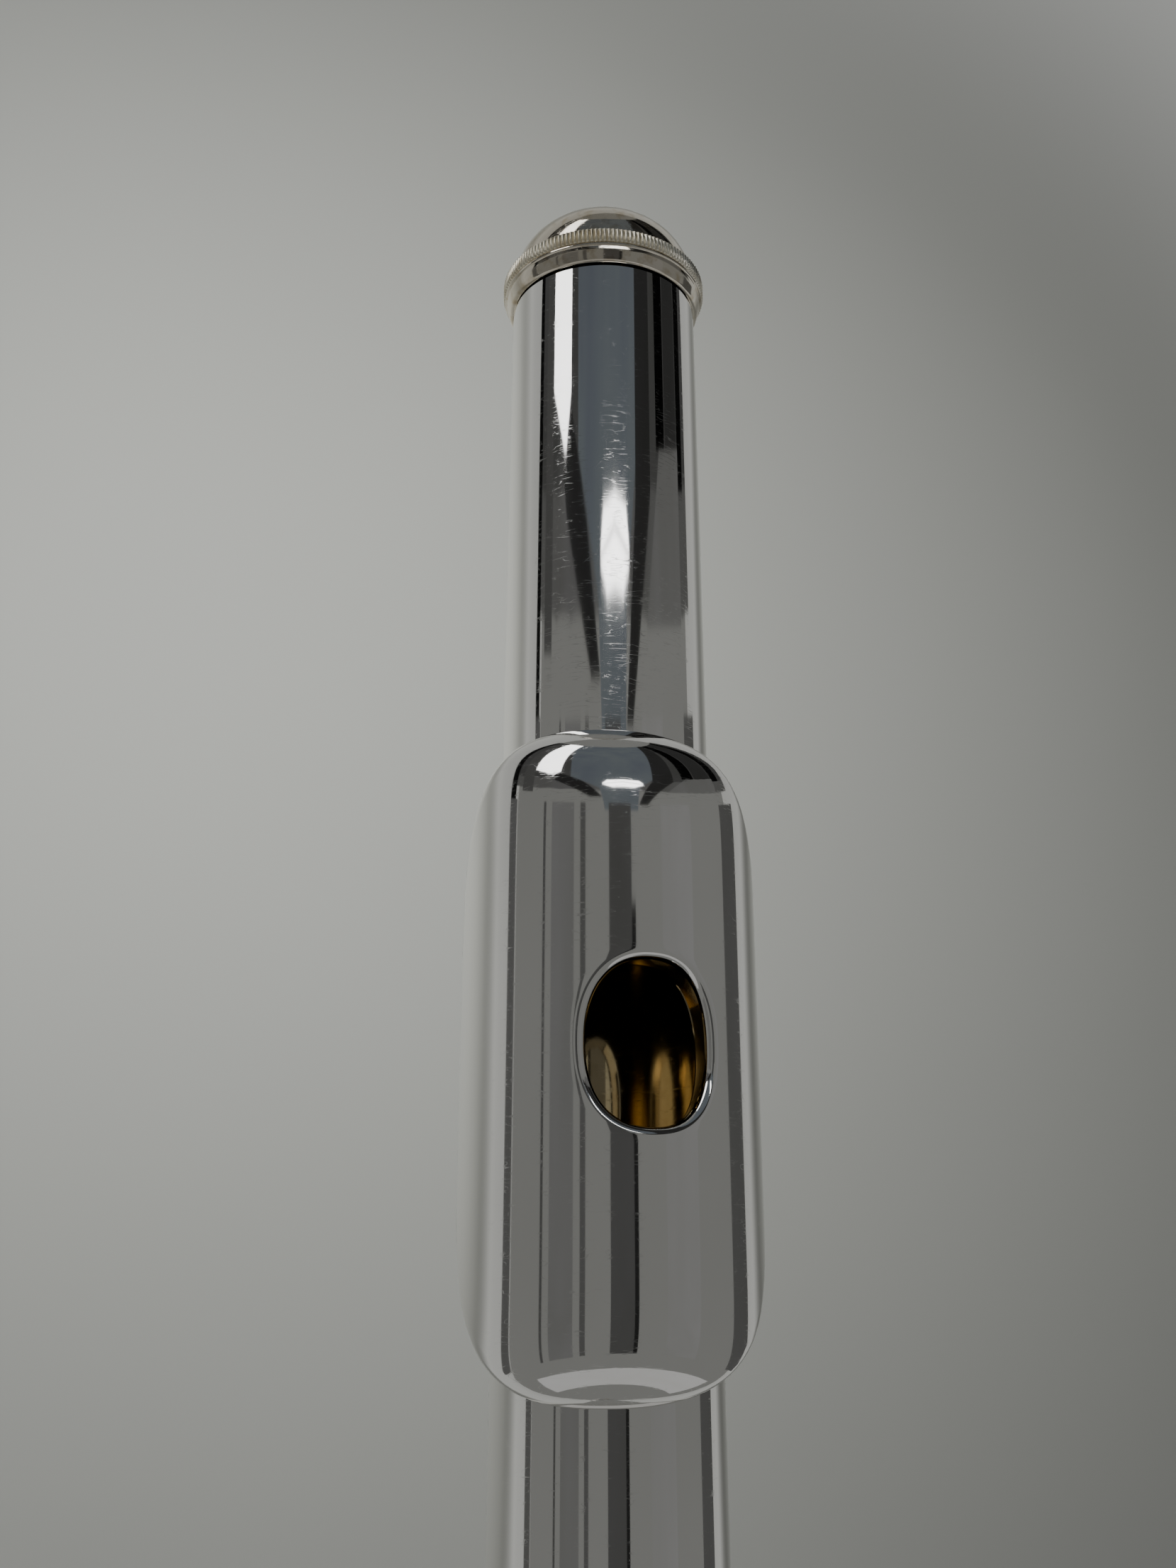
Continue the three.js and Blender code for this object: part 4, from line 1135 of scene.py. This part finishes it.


# What the head joint mirrors, set to resemble a dim room. Each card has a name, its slopes at its
# far and near ends, its brightness and its two angles, with two more for the near end where it tapers.
# The later ones hang in front of the earlier ones.
FAR = -3.0
HEAD_X = -0.05  # where along the tube the cards are centred, in metres
CARD_R, CARD_LAYER = 0.93, 0.012  # the first card's distance, and how far each next one hangs in front
ROOM = (
    ("room", FAR, -0.56, 0.050, -107, 104),
    ("room_low", -0.56, -0.45, 0.085, -107, 104),
    ("room_core", FAR, -0.60, 0.120, -58, 44, -46, 24),
    ("room_core_low", -0.60, -0.47, 0.120, -46, 24, -22, 10),
    ("room_core_end", -0.47, -0.34, 0.120, -22, 10, -18, 8),
    ("room_left_edge", FAR, -0.36, 0.004, -108, -94),
    ("room_left_grey", FAR, -0.42, 0.060, -88, -78),
    ("room_left_dark", -0.66, -0.54, 0.018, -74, -58, -60, -36),
    ("room_left_low", -0.54, -0.40, 0.018, -60, -36, -30, -20),
    ("room_right_dark", FAR, -0.56, 0.022, 40, 52, 22, 41),
    ("room_right_low", -0.56, -0.36, 0.022, 22, 41, 9, 16),
    ("room_right_black", FAR, -0.60, 0.002, 50, 62),
    ("room_right_grey", FAR, -0.60, 0.026, 63, 82),
    ("room_right_line", FAR, -0.56, 0.003, 83, 92),
    ("room_right_pale", -0.60, -0.44, 0.115, 54, 84, 34, 84),
    ("panel_line_a", -0.36, 0.6, 0.06, -67, -65),
    ("panel_a", -0.36, 0.6, 0.125, -60, -42),
    ("panel_line_b", -0.36, 0.6, 0.075, -37, -33),
    ("panel_dark", -0.36, 0.6, 0.060, -15, 2),
    ("panel_line_c", -0.20, 0.6, 0.015, 2, 5),
    ("panel_pale", -0.36, 0.6, 0.19, 26, 52),
    ("edge_left", -0.36, 0.6, 0.085, -99, -92),
    ("edge_right", -0.36, 0.6, 0.075, 84, 104),
)
WINDOW_R, SOFTBOX_R = 0.6, 0.58
WINDOW = (
    ("window_top", ((-74, FAR), (-50, FAR), (-55, -0.66), (-78, -0.66))),
    ("window_tip", ((-78, -0.66), (-55, -0.66), (-61, -0.60), (-63, -0.60))),
)
LAMP = (
    ("lamp_left", ((-16, -0.545), (-3, -0.560), (-3, -0.532), (-20, -0.500))),
    ("lamp_right", ((-3, -0.560), (10, -0.545), (14, -0.500), (-3, -0.532))),
    ("lamp_low_left", ((-20, -0.494), (-3, -0.524), (-3, -0.470), (-12, -0.464))),
    ("lamp_low_right", ((-3, -0.524), (14, -0.494), (6, -0.464), (-3, -0.470))),
)
SOFTBOX = (("softbox_over_keys", ((-75, 1.0), (80, 1.0), (80, 2.2), (-75, 2.2))),)

FLOOR_GLOW = 0.34  # painted light: the floor's own glow away from the head joint, where the lamps don't reach
GLOW_START, GLOW_FULL = 0.19, 0.38  # how far from the head joint it starts and is full, in metres
FLOOR_DROP = 0.12  # how far the floor lies under the flute, in metres
FLOOR_HALF = 4.0


def make_floor():
    low = cad_box[0][2] - FLOOR_DROP
    material, tree, shader = node_tree("pale_floor")
    place = add_node(tree, "TexCoord").outputs["Object"]
    cloud = noise(tree, place, 3.0, 4.0)
    color = ramp(tree, cloud, [(0.25, (0.50, 0.51, 0.49)), (0.75, (0.56, 0.57, 0.545))])
    tree.links.new(color, shader.inputs["Base Color"])
    shader.inputs["Roughness"].default_value = 0.9
    shader.inputs["Specular IOR Level"].default_value = 0.1
    # Painted light: the floor's emission rises with distance from the head joint, standing in for lamp light
    # there.
    distance = add_node(tree, "VectorMath", {1: (ORIGIN[0] + HEAD_X, ORIGIN[1], low)}, operation="DISTANCE")
    tree.links.new(place, distance.inputs[0])
    reach = {"From Min": GLOW_START, "From Max": GLOW_FULL, "To Max": FLOOR_GLOW}
    spread = add_node(tree, "MapRange", reach, interpolation_type="SMOOTHSTEP")
    tree.links.new(distance.outputs["Value"], spread.inputs["Value"])
    tree.links.new(spread.outputs["Result"], shader.inputs["Emission Strength"])
    shader.inputs["Emission Color"].default_value = (0.97, 0.98, 0.95, 1)
    mesh = bpy.data.meshes.new("floor")
    half = FLOOR_HALF
    corners = [(-half, -half, low), (half, -half, low), (half, half, low), (-half, half, low)]
    mesh.from_pydata(corners, [], [(0, 1, 2, 3)])
    mesh.materials.append(material)
    link("floor", mesh)


def make_cards():
    for k, (name, far, near, tone, left, right, *tapered) in enumerate(ROOM):
        near_left, near_right = tapered or (left, right)
        color = (0.74, 0.84, 1.0) if name.startswith("room_core") else (0.96, 0.97, 0.93)
        corners = [(left, far), (right, far), (near_right, near), (near_left, near)]
        card(name + "_card", corners, CARD_R - CARD_LAYER * k, glow(name, color, tone, 0.12))
    white = (1.0, 1.0, 1.0)
    for name, color, strength, radius, cards in (
        ("window_white", white, 3.2, WINDOW_R, WINDOW),
        ("lamp_white", white, 4.0, WINDOW_R, LAMP),
        ("softbox", (1.0, 1.0, 0.98), 0.4, SOFTBOX_R, SOFTBOX),
    ):
        material = glow(name, color, strength, 0.05)
        for card_name, corners in cards:
            card(card_name, corners, radius, material)


def area_light(name, spot, size, power, color=(1, 1, 1)):
    """A square lamp that shines straight down. It casts no shadow and mirrors don't show it."""
    data = bpy.data.lights.new(name, "AREA")
    data.size = size
    data.energy = power
    data.color = color
    data.use_shadow = False
    lamp = link(name, data)
    lamp.location = Vector(ORIGIN) + Vector(spot)
    lamp.rotation_euler = Vector((0, 0, -1)).to_track_quat("-Z", "Y").to_euler()
    lamp.visible_glossy = False
    lamp.visible_camera = False


MIRRORED_ROOM = 0.175  # the room's brightness in the polished metal
ROOM_SEEN = 0.5  # the room's brightness behind the flute
ROOM_FILL = 0.03  # what the room adds to the light on the floor


def make_lights():
    scene_world = bpy.data.worlds.new("studio")
    bpy.context.scene.world = scene_world
    scene_world.use_nodes = True
    background = scene_world.node_tree.nodes["Background"]
    background.inputs["Color"].default_value = (0.96, 0.97, 0.93, 1)
    tree = scene_world.node_tree
    path = add_node(tree, "LightPath")
    dimmed = maths(tree, "MULTIPLY", path.outputs["Is Diffuse Ray"], ROOM_FILL - MIRRORED_ROOM)
    seen = maths(tree, "MULTIPLY", path.outputs["Is Camera Ray"], ROOM_SEEN - MIRRORED_ROOM)
    level = maths(tree, "ADD", maths(tree, "ADD", dimmed, MIRRORED_ROOM), seen)
    tree.links.new(level, background.inputs["Strength"])
    area_light("head_light", (-0.11, -0.046, 0.076), 0.08, 0.48, (1, 1, 0.97))
    for side in (-1, 1):
        area_light(f"broad_light_{side + 1}", (0.65, side * 0.85, 0.9), 0.8, 0.9)


def make_camera():
    """Looks down at the head joint from over the player's side, with the crown up in the picture."""
    eye = Vector(world((21.1, -36.0, 129.7)).tolist())
    target = Vector(world((-24.7, -1.54, 0)).tolist())
    ahead = (target - eye).normalized()
    right = ahead.cross(Vector((-1, 0, 0))).normalized()
    up = right.cross(ahead)
    data = bpy.data.cameras.new("camera")
    data.sensor_width = 36.0
    data.lens = 37.07
    data.clip_start = 0.005
    camera = link("camera", data)
    turn = Matrix((right, up, -ahead)).transposed().to_4x4()
    camera.matrix_world = Matrix.Translation(eye) @ turn
    bpy.context.scene.camera = camera


make_camera()
make_head_tube()
make_lip_plate()
make_riser()
make_crown()
make_stopper()
make_tubes()
make_ribs()
make_steels()
make_left_hand_keys()
make_trill_keys()
make_thumb_keys()
make_right_hand_keys()
make_foot_keys()
make_floor()
make_cards()
make_lights()
